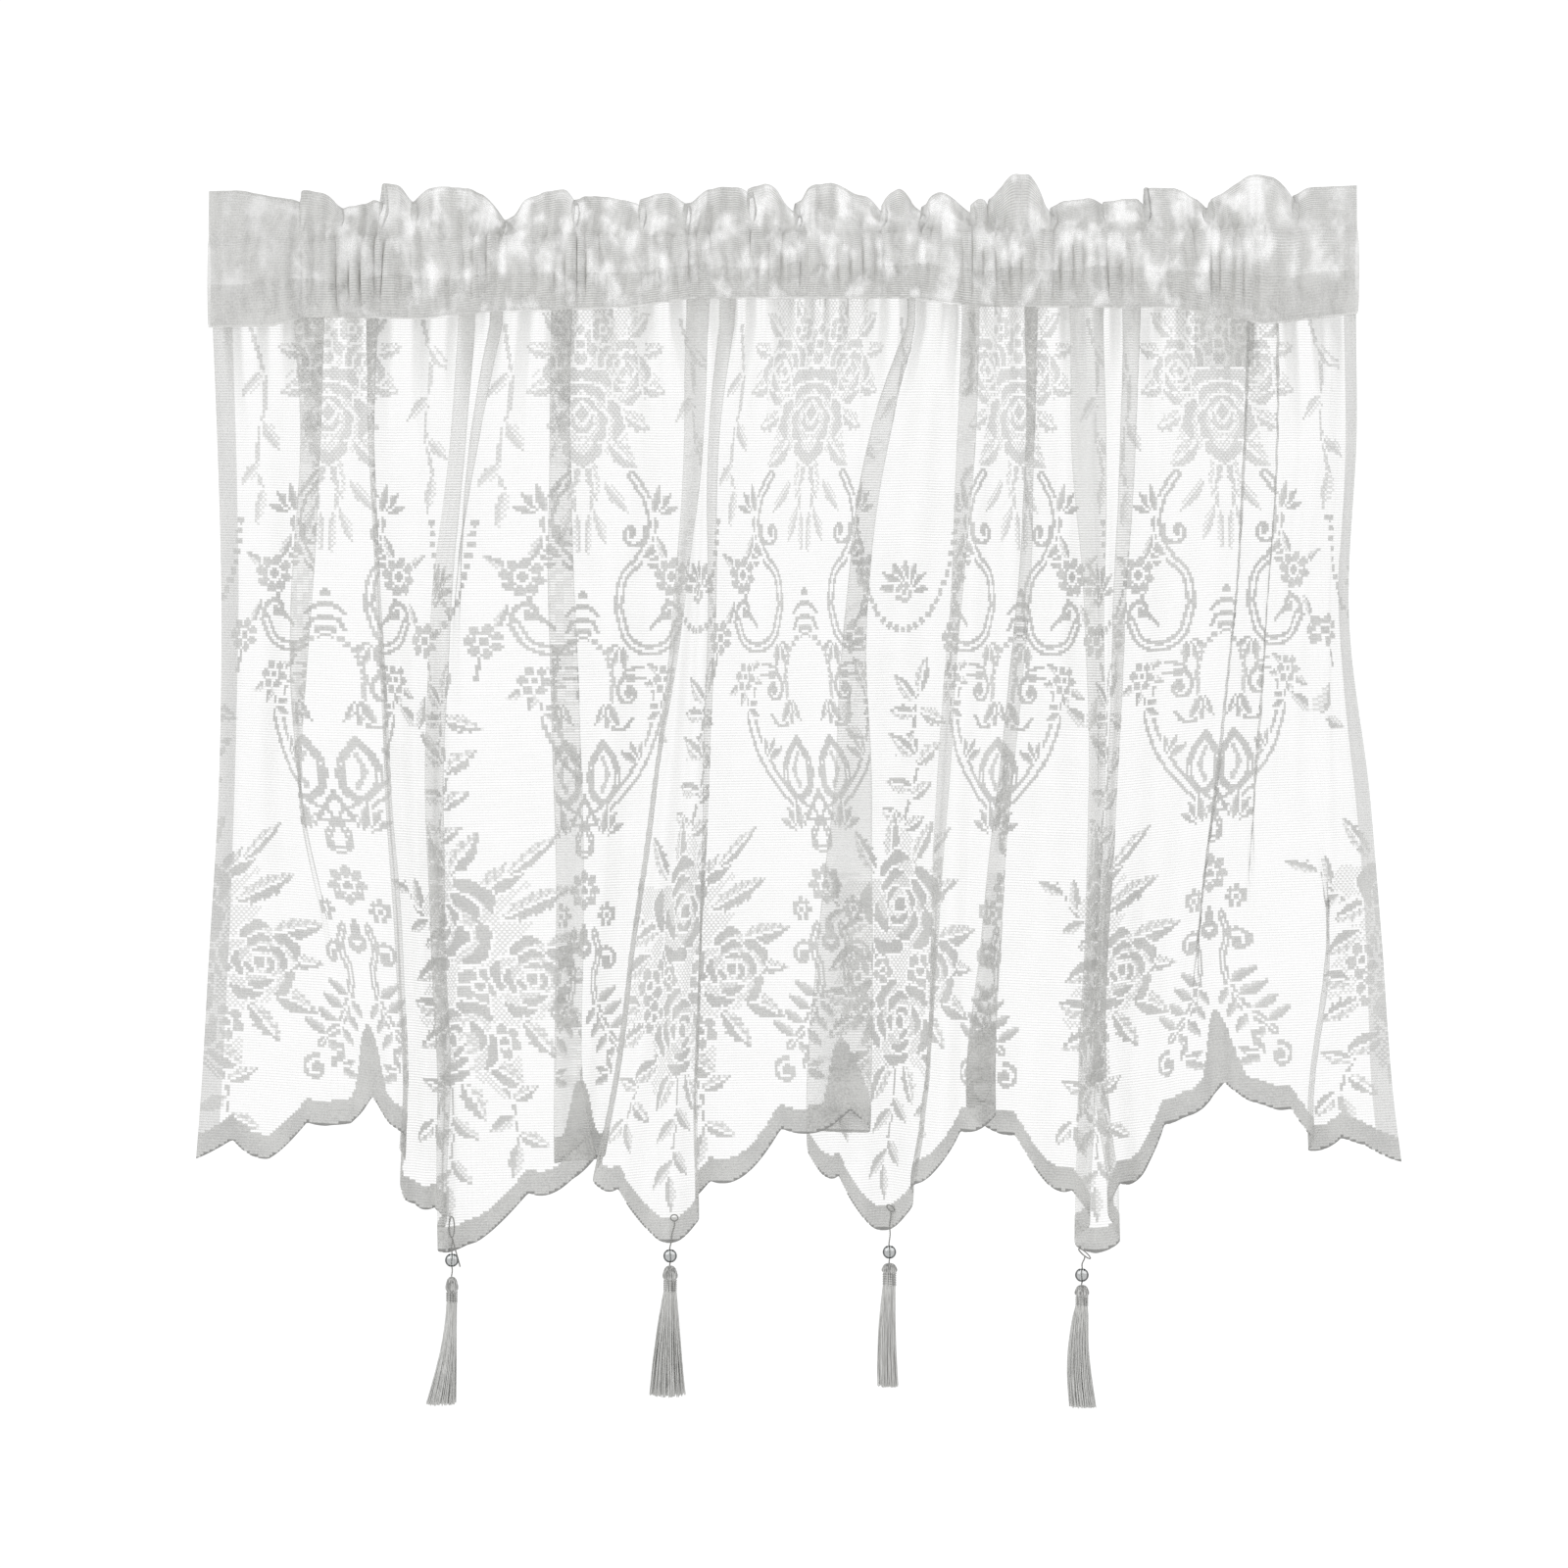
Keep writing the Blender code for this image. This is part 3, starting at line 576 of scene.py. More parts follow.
@dataclass
class LaceChart:
    """One repeat of the woven pattern, charted in cells one wale wide and one course high.

    A cell holds how closely it is worked, from 0 for bare net to 1. Places are millimetres from a notch's or
    a point's line and heights. What is charted from the notch's line is mirrored about it.
    """

    wales: int = 160
    course: float = 1.55
    top: float = 62.0
    rows: int = 417
    stipple: float = 0.75
    outline: float = 1.45
    thin: float = 0.25
    top_light: float = 0.64
    leaf_round: float = 0.85
    tooth_deep: float = 0.38
    veined_over: float = 8.0
    vein_pitch: float = 5.4
    vein_wide: float = 1.9
    ground_lobes: float = 7.0
    lobe_deep: float = 0.16
    wale: float = field(init=False)
    cells: Array = field(init=False)
    fields: dict[Axis, Array] = field(init=False)
    across: Array = field(init=False)
    z: Array = field(init=False)

    def __post_init__(self) -> None:
        """Set out bare net, then chart the motifs."""
        self.wale = 2.0 * HALF_REPEAT / self.wales
        along = (np.arange(self.wales) + 0.5) * self.wale
        self.z = (self.top - (np.arange(self.rows) + 0.5) * self.course)[:, None]
        self.fields = {Axis.NOTCH: from_notch(along)[None, :], Axis.POINT: (along - HALF_REPEAT)[None, :]}
        self.cells = np.zeros((self.rows, self.wales))
        self.chart_top_bouquet()
        self.chart_frames()
        self.chart_ornament()
        self.chart_sprigs()
        self.chart_bouquet()
        checker = np.add.outer(np.arange(self.rows), np.arange(self.wales)) % 2 - 0.5
        stipple = self.stipple * (1.0 - self.cells) * checker
        self.cells = np.where(self.cells > 0.0, self.cells + stipple, 0.0)

    def chart_from(self, axis: Axis) -> None:
        """Chart what follows from the line of a notch or of a point."""
        self.across = self.fields[axis]

    def lay(self, where: Array, worked: Array | float) -> None:
        """Work the cells where a mask holds."""
        self.cells = np.where(where, worked, self.cells)

    def leaf(self, foot: Place, tip: Place, width: float, teeth: int = 0, light: float = 0.45) -> None:
        """Chart a pointed leaf inside a bare outline: one half close, the other lighter, with side veins.

        Args:
            foot: Where its stalk joins.
            tip: Its point.
            width: Its greatest width.
            teeth: Number of teeth along each edge.
            light: How closely the lighter half is worked.
        """
        dx, dz = tip[0] - foot[0], tip[1] - foot[1]
        length = math.hypot(dx, dz)
        px, pz = self.across - foot[0], self.z - foot[1]
        along = (px * dx + pz * dz) / length
        off = (pz * dx - px * dz) / length
        share = np.clip(along / length, 0.0, 1.0)
        half = 0.5 * width * np.sin(math.pi * share**self.leaf_round)
        self.lay((along > -0.6) & (along < length + 0.6) & (np.abs(off) < half + self.outline), 0.0)
        if teeth:
            half = half * (1.0 - self.tooth_deep * ((share * teeth) % 1.0))
        inside = (along > 0.0) & (along < length) & (np.abs(off) < half)
        self.lay(inside, np.where(off > 0.0, light * (1.2 - 0.5 * off / np.maximum(half, 0.5)), 1.0))
        if width > self.veined_over:
            vein = (along - 0.9 * off) % self.vein_pitch < self.vein_wide
            self.lay(inside & (off > 1.0) & vein, 0.85)
            self.lay(inside & (np.abs(off) < 0.8) & (share < 0.8), 0.0)

    def ground(self, middle: Place, reach: Place) -> None:
        """Stipple the net thinly behind a bouquet, out to a lobed edge.

        Args:
            middle: Its middle.
            reach: How far it goes across and upwards.
        """
        px, pz = (self.across - middle[0]) / reach[0], (self.z - middle[1]) / reach[1]
        edge = 0.82 + self.lobe_deep * np.cos(self.ground_lobes * np.arctan2(pz, px) + 1.0)
        self.lay(np.hypot(px, pz) < edge, self.thin)

    def leaves(self, rows: tuple) -> None:
        """Chart leaves from rows of foot, tip, width and, where they have them, teeth."""
        for foot_x, foot_z, tip_x, tip_z, *rest in rows:
            self.leaf((foot_x, foot_z), (tip_x, tip_z), *rest)

    def flower(
        self, middle: Place, radius: float, petals: int, turn: float = 0.0, worked: float = 0.9
    ) -> None:
        """Chart a small open flower: round petals about a bare ring and a close eye.

        Args:
            middle: Its middle.
            radius: Reach of its petals.
            petals: Number of petals.
            turn: Angle by which the first petal is turned.
            worked: How closely the petals are worked.
        """
        px, pz = self.across - middle[0], self.z - middle[1]
        r = np.hypot(px, pz)
        angle = np.arctan2(pz, px) + turn
        lobe = np.abs(np.cos(petals * angle / 2.0))
        edge = radius * (0.62 + 0.38 * lobe**0.6)
        self.lay(r < edge + self.outline, 0.0)
        self.lay(r < edge, worked)
        self.lay((r < radius * 0.95) & (lobe < 0.22) & (r > radius * 0.35), 0.0)
        self.lay((r < radius * 0.42) & (radius > 6.0), 0.0)
        self.lay(r < radius * 0.24, 1.0)

    def petal(self, middle: Place, radius: float, facing: float, light: float) -> None:
        """Chart a rounded petal inside a bare outline, close along its outer rim and lighter within.

        Args:
            middle: Its middle.
            radius: Its radius.
            facing: Direction of its outer rim, in radians.
            light: How closely its inside is worked.
        """
        px, pz = self.across - middle[0], self.z - middle[1]
        r = np.hypot(px, pz)
        toward = (px * math.cos(facing) + pz * math.sin(facing)) / radius
        side = (pz * math.cos(facing) - px * math.sin(facing)) / radius
        edge = radius * (1.0 - 0.07 * np.cos(5.0 * side))
        inside = r < edge
        self.lay(r < edge + self.outline, 0.0)
        self.lay(inside, light)
        self.lay(inside & (toward > 0.45 - 0.35 * np.abs(side)) & (r > 0.35 * radius), 1.0)

    def rose(self, middle: Place, radius: float, turn: float = 0.0) -> None:
        """Chart a full rose from its outermost petals in to its heart.

        Args:
            middle: Its middle.
            radius: Reach of its outer petals.
            turn: Angle by which it is turned.
        """
        for petals, reach, size, light in ROSE_RINGS:
            for k in range(petals):
                way = turn + TURN * k / petals + 0.5 * reach
                self.petal(swing(middle, reach * radius, way), size * radius, way + 0.5, light)
        self.petal(middle, ROSE_HEART * radius, turn, 1.0)

    def trail(self, points: tuple[Place, ...], every: float = 0.8) -> Array:
        """Even steps along a smooth line through a few points.

        Args:
            points: The points, from one end to the other.
            every: Length of a step.

        Returns:
            The places, one row each.
        """
        given = np.asarray(points, float)
        wide = np.concatenate([given[:1] * 2.0 - given[1:2], given, given[-1:] * 2.0 - given[-2:-1]])
        runs = []
        for a, b, c, d in zip(wide[:-3], wide[1:-2], wide[2:-1], wide[3:]):
            steps = max(2, math.ceil(float(np.linalg.norm(c - b)) / every))
            t = even_shares(steps)
            straight = 2 * b + (c - a) * t
            bend = (2 * a - 5 * b + 4 * c - d) * t**2
            twist = (3 * b - a - 3 * c + d) * t**3
            runs.append(0.5 * (straight + bend + twist))
        runs.append(given[-1:])
        return np.concatenate(runs)

    def away(self, places: Array) -> Array:
        """Measure how far the cells lie from a few places.

        Args:
            places: The places, one row each.

        Returns:
            The distance of each cell from the nearest of them.
        """
        near = np.full(self.cells.shape, 1e6)
        for px, pz in places:
            near = np.minimum(near, (self.across - px) ** 2 + (self.z - pz) ** 2)
        return np.sqrt(near)

    def line(self, points: tuple, width: float = 2.6, worked: float = 1.0) -> None:
        """Chart a stem or a rib along a smooth line."""
        self.lay(self.away(self.trail(points)) < width / 2.0, worked)

    def scroll(self, points: tuple, width: float = 7.0, rib: float = 2.2) -> None:
        """Chart a scroll: two ribs with net between them, closed at both ends.

        Args:
            points: The scroll's middle line.
            width: Width over both ribs.
            rib: Width of a rib.
        """
        off = self.away(self.trail(points))
        self.lay(off < width / 2.0, np.where(off > width / 2.0 - rib, 0.95, 0.0))

    def curl(self, middle: Place, radius: float, start: float, turns: float) -> None:
        """Chart the curled end of a scroll.

        Args:
            middle: The eye.
            radius: Distance from the eye at which it starts.
            start: Angle at which it starts, in degrees.
            turns: Number of turns; less than 0 turns clockwise.
        """
        share = np.linspace(0.0, 1.0, 40)
        angle = np.radians(start) + TURN * turns * share
        reach = radius * (1.0 - 0.72 * share)
        path = np.stack([middle[0] + reach * np.cos(angle), middle[1] + reach * np.sin(angle)], axis=-1)
        self.lay(self.away(path) < 1.35, 0.95)
        self.lay(self.away(np.array([middle])) < 0.2 * radius + 0.9, 1.0)

    def pearls(self, points: tuple, every: float = 6.2, radius: float = 2.1) -> None:
        """Chart a string of pearls along a smooth line."""
        self.lay(self.away(self.trail(points, every)) < radius, 0.9)

    def fan(self, foot: Place, reach: float, first: float, last: float, blades: int) -> None:
        """Chart blades spread from one foot.

        Args:
            foot: Where the blades meet.
            reach: Their length.
            first: Direction of the first blade, in degrees.
            last: Direction of the last one.
            blades: Number of blades.
        """
        for k in range(blades):
            way = math.radians(first + (last - first) * k / (blades - 1))
            self.leaf(foot, swing(foot, reach, way), 2.8 + 0.17 * reach, 0, 0.9)

    def chart_frames(self) -> None:
        """Chart the scrolls that frame the ornament over each notch."""
        self.chart_from(Axis.NOTCH)
        self.scroll(((33, -119), (43, -133), (46, -150), (38, -166), (27, -178), (24, -192)), 6.6)
        self.curl((33, -152), 9, 20, -0.9)
        self.fan((47, -140), 17, 10, 75, 3)
        self.fan((40, -166), 15, -25, 40, 3)
        self.scroll(((24, -196), (30, -212), (43, -219), (57, -215), (64, -203)), 6.6)
        self.curl((57, -198), 8, -30, 0.9)
        self.line(((57, -186), (53, -198), (45, -206)), 2.4)
        self.fan((27, -216), 15, 200, 275, 3)
        self.scroll(((31, -233), (42, -232), (50, -242), (51, -257), (47, -271),
                    (40, -285), (29, -298), (16, -309), (5, -316)), 8)
        self.curl((31, -243), 9.5, 60, 1.1)
        self.fan((53, -254), 10, 150, 210, 2)
        self.fan((37, -283), 13, 70, 150, 3)
        self.line(((34, -258), (28, -264), (20, -263)), 2.6)

    def chart_ornament(self) -> None:
        """Chart the column of small ornaments over each notch."""
        self.chart_from(Axis.NOTCH)
        self.lay(self.away(np.array([[0, -187]])) < 2.6, 1)
        self.line(((0, -193), (6, -195), (10, -199)), 2.8)
        self.line(((0, -201), (7, -203), (10, -208)), 2.8)
        self.fan((0, -207), 8, -90, -20, 3)
        self.pearls(((8, -214), (17, -224), (20, -236)), 4.6, 1.9)
        self.line(((20, -238), (19, -249), (12, -259)), 3, 0.8)
        self.fan((17, -249), 16, 235, 300, 3)
        self.scroll(((13, -272), (22, -282), (24, -296), (15, -306), (6, -300),
                    (5, -286), (13, -272)), 4.8, 2.2)
        self.line(((13, -280), (17, -290), (13, -299)), 3, 0.8)
        self.line(((0, -302), (5, -311), (12, -321)), 2.8)
        self.fan((14, -324), 17, 20, 80, 3)
        self.scroll(((0, -318), (5.5, -327), (4.5, -334), (0, -336)), 4, 1.7)
        self.flower((0, -356), 11.5, 8)
        self.flower((17.5, -370), 7, 7, 0.3, 1)
        self.leaf((0, -388), (0, -374), 6)
        self.scroll(((0, -383), (4.5, -389), (0, -394)), 3.6, 1.8)
        self.scroll(((8, -380), (12, -392), (8, -406), (11, -421), (19, -436), (30, -449)), 5.4, 2)
        self.curl((18.5, -396), 7.5, 150, -1)
        for x, z in ((12, -420), (16, -428), (21, -436), (27, -443)):
            self.leaf((x, z), (x + 14, z + 9), 6, 0, 0.8)
            self.leaf((x - 2, z - 3), (x - 9, z - 13), 5.4, 0, 0.8)
        self.curl((33, -463), 7.5, 100, -1.1)
        self.fan((22, -463), 12, 100, 200, 3)

    def chart_top_bouquet(self) -> None:
        """Chart the bouquet that hangs under the heading at each notch, and its trailing sprays."""
        self.chart_from(Axis.NOTCH)
        self.ground((0, -58), (56, 60))
        self.line(((6, -112), (6, -128), (5, -146)), 2.4)
        self.chart_from(Axis.POINT)
        self.line(((-46, -30), (-40, -58), (-42, -92), (-35, -124)), 2.4)
        self.line(((44, -34), (52, -70), (47, -108), (52, -138)), 2.4)
        self.chart_from(Axis.NOTCH)
        self.leaves((
            (28, -84, 47, -93, 13, 4), (18, -100, 37, -115, 13), (4, -106, 10, -134, 12, 4),
            (40, -66, 58, -72, 11), (42, -50, 60, -45, 11, 4), (34, -40, 50, -26, 11),
            (14, -34, 24, -18, 10), (8, -138, 17, -160, 6.5), (4, -140, 3, -166, 5.5),
            (14, -122, 31, -141, 7.5), (0, -26, 0, 6, 13, 4), (24, -14, 40, 6, 12, 4), (46, -8, 64, 14, 11),
        ))
        self.rose((29, -60), 18, 2.2)
        self.rose((0, -84), 27, 0.7)
        self.flower((0, -44), 12, 6, 0.4)
        self.flower((16, -36), 8, 5, 0.1)
        self.flower((30, -8), 10, 5, 0.6)
        self.flower((10, 14), 9, 6, 0)
        self.chart_from(Axis.POINT)
        self.leaves((
            (-42, -44, -29, -59, 8.5), (-41, -74, -54, -88, 7), (-40, -98, -26, -110, 7.5),
            (-36, -118, -39, -141, 7), (50, -60, 38, -75, 7), (50, -88, 61, -106, 8),
            (48, -112, 36, -126, 7), (51, -126, 47, -150, 6.5), (-10, 20, 8, 2, 12, 4), (4, 30, 30, 24, 12),
            (-18, -6, -34, 8, 10),
        ))
        self.cells = self.cells * self.top_light

    def chart_sprigs(self) -> None:
        """Chart the palmette with its pearls, the small roses and the leaf sprigs between the frames."""
        self.chart_from(Axis.POINT)
        self.pearls(((-36, -146), (-31, -176), (-18, -200), (0, -209), (18, -200), (31, -176), (36, -146)))
        self.fan((0, -186), 19, 5, 175, 7)
        self.flower((0, -188), 6.5, 5)
        for side in (-1, 1):
            self.leaf((side * 62, -168), (side * 70, -152), 5.4)
            self.leaf((side * 52, -172), (side * 39, -164), 5)
            self.flower((side * 59, -177), 11.5, 8, 0.2)
            self.leaf((side * 45, -206), (side * 51, -192), 5.4)
            self.line(((side * 37, -221), (side * 34, -234)), 2.4)
            self.flower((side * 39, -213), 10, 7, 0.5)
            for dx, dz in ((-15, -10), (-4, -17), (14, 9), (16, -3)):
                self.leaf((side * 62, -236 + 0.3 * dz), (side * (62 + dx), -236 + dz), 5.6)
            self.flower((side * 62, -236), 8.5, 6, 0.1)
        self.line(((14, -240), (10, -262), (13, -290), (5, -318), (2, -336)), 2.4)
        self.leaves((
            (13, -246, 18, -224, 9.5), (12, -252, -7, -235, 8.5), (13, -256, 35, -263, 11, 4),
            (11, -258, -10, -257, 8.5), (11, -268, -4, -283, 7), (12, -284, -10, -270, 10),
            (12, -288, 31, -274, 11, 4), (10, -302, -12, -298, 9.5), (8, -308, 26, -297, 9),
            (4, -322, -15, -314, 8.5), (4, -326, 21, -318, 8.5), (-44, -262, -60, -250, 8),
            (-44, -264, -39, -245, 7), (-43, -266, -28, -273, 8),
        ))

    def chart_bouquet(self) -> None:
        """Chart the large bouquet over each point and the sprigs under it."""
        self.chart_from(Axis.POINT)
        self.ground((8, -404), (64, 80))
        self.line(((-24, -384), (-43, -372), (-60, -352)), 2.2)
        self.line(((-18, -452), (-33, -470), (-40, -488)), 2.2)
        self.line(((22, -452), (36, -474), (38, -500)), 2.2)
        self.line(((4, -462), (3, -490), (0, -522)), 2.2)
        self.leaves((
            (-16, -352, -36, -326, 14, 5), (-6, -346, -4, -316, 12), (12, -346, 28, -320, 13, 5),
            (24, -356, 56, -336, 14), (40, -346, 70, -322, 9), (36, -370, 76, -352, 15, 5),
            (56, -388, 92, -380, 13), (62, -402, 90, -404, 11, 4), (60, -420, 86, -432, 13),
            (46, -428, 66, -450, 14, 5), (24, -452, 48, -468, 13), (-40, -372, -56, -380, 6.5),
            (-47, -367, -50, -348, 7), (-55, -358, -73, -351, 6.5), (-20, -378, -46, -388, 13, 4),
            (-26, -394, -52, -408, 12), (-34, -424, -56, -420, 11), (-28, -434, -52, -446, 13, 5),
            (-16, -456, -38, -466, 12), (-2, -462, -14, -484, 12), (12, -462, 20, -486, 12, 4),
            (-33, -470, -51, -464, 8.5), (-36, -477, -20, -490, 8.5), (-40, -486, -54, -501, 8.5),
            (-40, -488, -33, -507, 7.5), (36, -474, 53, -465, 8.5), (37, -482, 22, -492, 8),
            (38, -492, 56, -501, 9), (38, -498, 33, -518, 8), (3, -482, 17, -496, 8),
            (3, -488, -12, -502, 8), (1, -506, 14, -521, 8), (1, -512, -13, -528, 8),
            (0, -520, 1, -542, 7.5),
        ))
        self.flower((-27, -412), 11, 5, 0.5)
        self.flower((-12, -400), 9.5, 6, 0)
        self.flower((22, -408), 11, 5, 0.2)
        self.flower((-22, -430), 9.5, 5, 0.9)
        self.flower((34, -440), 10.5, 6, 0.3)
        self.rose((52, -404), 22, 1.4)
        self.rose((4, -370), 29, 0.2)
        self.rose((6, -438), 24, 3)
        self.flower((-8, -408), 8, 5, 0.2)


class Shader:
    """A Principled material and the nodes that feed it."""

    def __init__(self, name: str, colour: Colour, roughness: float) -> None:
        """Start a material.

        Args:
            name: Its name.
            colour: Its plain colour.
            roughness: Its roughness.
        """
        self.material = bpy.data.materials.new(name)
        self.material.use_nodes = True
        self.nodes = self.material.node_tree.nodes
        self.links = self.material.node_tree.links
        self.surface = self.nodes["Principled BSDF"]
        self.set("Base Color", (*colour, 1.0))
        self.set("Roughness", roughness)

    def set(self, socket: str, value: object) -> None:
        """Set one of the surface's own sockets.

        Args:
            socket: Name of the socket.
            value: A plain value, or an output to link.
        """
        if isinstance(value, Socket):
            self.links.new(value, self.surface.inputs[socket])
        else:
            self.surface.inputs[socket].default_value = value

    def node(self, kind: str, inputs: dict[str | int, object], **settings: object) -> bpy.types.Node:
        """Add a node.

        Args:
            kind: Its type.
            inputs: Values or outputs for its input sockets, by name or number.
            settings: Its own settings.

        Returns:
            The node.
        """
        made = self.nodes.new(kind)
        for name, value in settings.items():
            setattr(made, name, value)
        for name, value in inputs.items():
            if isinstance(value, Socket):
                self.links.new(value, made.inputs[name])
            else:
                made.inputs[name].default_value = value
        return made

    def calc(self, operation: str, *values: object) -> Socket:
        """Add a Math node and give its output."""
        return self.node("ShaderNodeMath", dict(enumerate(values)), operation=operation).outputs[0]

    def ramp(self, value: object, low: float, high: float, start: float = 0.0, end: float = 1.0) -> Socket:
        """Ease a value from one range to another.

        Args:
            value: The value.
            low: Where the first range starts.
            high: Where it ends.
            start: Result at low.
            end: Result at high.

        Returns:
            The eased value.
        """
        made = self.node(
            "ShaderNodeMapRange",
            {"Value": value, "From Min": low, "From Max": high, "To Min": start, "To Max": end},
            interpolation_type="SMOOTHSTEP",
        )
        return made.outputs["Result"]

    def weigh(self, first: object, second: object, share: float) -> Socket:
        """Average two values, the first one by its share."""
        part = self.calc("MULTIPLY", second, 1.0 - share)
        return self.calc("ADD", self.calc("MULTIPLY", first, share), part)

    def noise(self, place: object, scale: float, detail: float) -> Socket:
        """Add a noise and give its value."""
        inputs = {"Vector": place, "Scale": scale, "Detail": detail}
        return self.node("ShaderNodeTexNoise", inputs).outputs["Fac"]

    def cloth_place(self) -> Socket:
        """Give the place on the cloth, from its UV map in flat metres."""
        return self.node("ShaderNodeUVMap", {}, uv_map="cloth").outputs["UV"]

    def mapped(self, socket: str, value: Colour) -> Socket:
        """Give the object's own coordinates through a mapping with one of its sockets set."""
        place = self.node("ShaderNodeTexCoord", {}).outputs["Object"]
        return self.node("ShaderNodeMapping", {"Vector": place, socket: value}).outputs["Vector"]

    def blend(self, share: object, *colours: object) -> Socket:
        """Mix two colours, each a plain one or another node's."""
        first, second = [c if isinstance(c, Socket) else (*c, 1.0) for c in colours]
        return self.node("ShaderNodeMix", {0: share, 6: first, 7: second}, data_type="RGBA").outputs[2]

    def bump(self, height: object, strength: float, distance: float) -> None:
        """Feed a height to the surface's normal."""
        made = self.node("ShaderNodeBump", {"Height": height, "Strength": strength, "Distance": distance})
        self.set("Normal", made.outputs["Normal"])


@dataclass(frozen=True)
class LaceFinish:
    """Fine cotton-like lace: course lines and thin wales, and cells that are worked more or less closely.

    The net's share of yarn is bare plus the two yarns. What the piece's own attribute says is laid over it,
    and where that is over 1 the yarn takes a dark painted shade, the outline of the hem's bound edge.
    """

    name: str
    bare: float = 0.11
    course_yarn: float = 0.26
    wale_yarn: float = 0.05
    closed: float = 0.96
    light: Colour = (0.82, 0.82, 0.80)
    dark: Colour = (0.61, 0.61, 0.595)
    course_pitch: float = 1.55
    wale_pitch: float = 1.475
    course_gap: float = 0.36
    wale_gap: float = 0.60
    speck_scale: float = 700.0
    uneven_scale: float = 45.0
    roughness: float = 0.85
    sheen: float = 0.2
    mottle: float = 0.13
    hole: float = 1.0
    # Dark colour of the hem's bound edge: painted shade along the hem
    shaded_bound: Colour = (0.40, 0.40, 0.39)

    def make(self) -> Material:
        """Build the material from the cloth's UV map and its cells.

        Returns:
            The material.
        """
        shade = Shader(self.name, self.light, self.roughness)
        shade.set("Sheen Weight", self.sheen)
        uv = shade.cloth_place()
        axes = shade.node("ShaderNodeSeparateXYZ", {"Vector": uv}).outputs
        worked = shade.node("ShaderNodeAttribute", {}, attribute_name="worked").outputs["Fac"]
        course = self.yarn(shade, axes["Y"], self.course_pitch, self.course_gap)
        wale = self.yarn(shade, axes["X"], self.wale_pitch, self.wale_gap)
        speck = shade.noise(uv, self.speck_scale, 2.0)
        uneven = shade.noise(uv, self.uneven_scale, 3.0)
        net = shade.calc("MULTIPLY_ADD", course, self.course_yarn, self.bare)
        net = shade.calc("MULTIPLY_ADD", wale, self.wale_yarn, net)
        tone = shade.weigh(speck, uneven, 0.5)
        mottled = shade.ramp(uneven, 0.35, 0.65, 1.0 - self.mottle, 1.0 + self.mottle)
        net = shade.calc("MULTIPLY", net, mottled)
        net = shade.calc("MULTIPLY", net, shade.ramp(tone, 0.39, 0.45, self.hole, 1.0))
        gaps = shade.ramp(speck, 0.30, 0.55, 0.88, 1.0)
        lines = shade.calc("MULTIPLY_ADD", course, 0.08, 0.92)
        patches = shade.ramp(uneven, 0.35, 0.65, self.closed * (1.0 - 0.6 * self.mottle), self.closed)
        close = shade.calc("MULTIPLY", shade.calc("MULTIPLY", gaps, lines), patches)
        open_net = shade.calc("SUBTRACT", 1.0, net)
        open_work = shade.calc("SUBTRACT", 1.0, shade.calc("MULTIPLY", worked, close))
        alpha = shade.calc("SUBTRACT", 1.0, shade.calc("MULTIPLY", open_net, open_work))
        shade.set("Alpha", shade.node("ShaderNodeClamp", {"Value": alpha, "Max": 0.98}).outputs[0])
        yarns = shade.blend(shade.ramp(tone, 0.38, 0.60), self.dark, self.light)
        # Over 1 the yarn takes the painted shade of the hem's bound edge
        shade.set("Base Color", shade.blend(shade.ramp(worked, 1.2, 1.6), yarns, self.shaded_bound))
        shade.bump(shade.weigh(course, speck, 0.6), 0.5, 0.0004)
        return shade.material

    def yarn(self, shade: Shader, along: object, pitch: float, gap: float) -> Socket:
        """Draw lines of yarn across one way of the cloth.

        Args:
            shade: The material.
            along: Place along the cloth, in metres.
            pitch: Distance from yarn to yarn, in millimetres.
            gap: Share of it that is open.

        Returns:
            1 on a yarn and 0 between two.
        """
        turn = shade.calc("FRACT", shade.calc("MULTIPLY", along, 1.0 / (pitch * MM)))
        off = shade.calc("MULTIPLY", shade.calc("ABSOLUTE", shade.calc("SUBTRACT", turn, 0.5)), 2.0)
        return shade.ramp(off, gap, min(gap + 0.3, 1.0))


@dataclass(frozen=True)
class SilkFinish:
    """Satin strands: streaks along the fall and a soft gloss."""

    name: str
    colour: Colour = (0.97, 0.97, 0.95)
    deep: Colour = (0.66, 0.66, 0.64)
    roughness: float = 0.38

    def make(self) -> Material:
        """Build the material from the object's own coordinates.

        Returns:
            The material.
        """
        shade = Shader(self.name, self.colour, self.roughness)
        shade.set("Sheen Weight", 0.3)
        shade.set("Specular IOR Level", 0.6)
        streak = shade.noise(shade.mapped("Scale", (1.0, 1.0, 0.06)), 1500.0, 2.0)
        shade.set("Base Color", shade.blend(shade.ramp(streak, 0.3, 0.7), self.deep, self.colour))
        shade.bump(streak, 0.4, 0.0002)
        return shade.material


@dataclass(frozen=True)
class ThreadFinish:
    """Twisted sewing thread."""

    name: str
    colour: Colour = (0.50, 0.50, 0.48)
    deep: Colour = (0.26, 0.26, 0.25)

    def make(self) -> Material:
        """Build the material with slanting twist lines.

        Returns:
            The material.
        """
        shade = Shader(self.name, self.colour, 0.65)
        shade.set("Sheen Weight", 0.2)
        turned = shade.mapped("Rotation", (0.0, 0.6, 0.0))
        inputs = {"Vector": turned, "Scale": 320.0, "Distortion": 0.6}
        twist = shade.node("ShaderNodeTexWave", inputs, bands_direction="Z").outputs["Fac"]
        shade.set("Base Color", shade.blend(twist, self.deep, self.colour))
        shade.bump(twist, 0.5, 0.0002)
        return shade.material


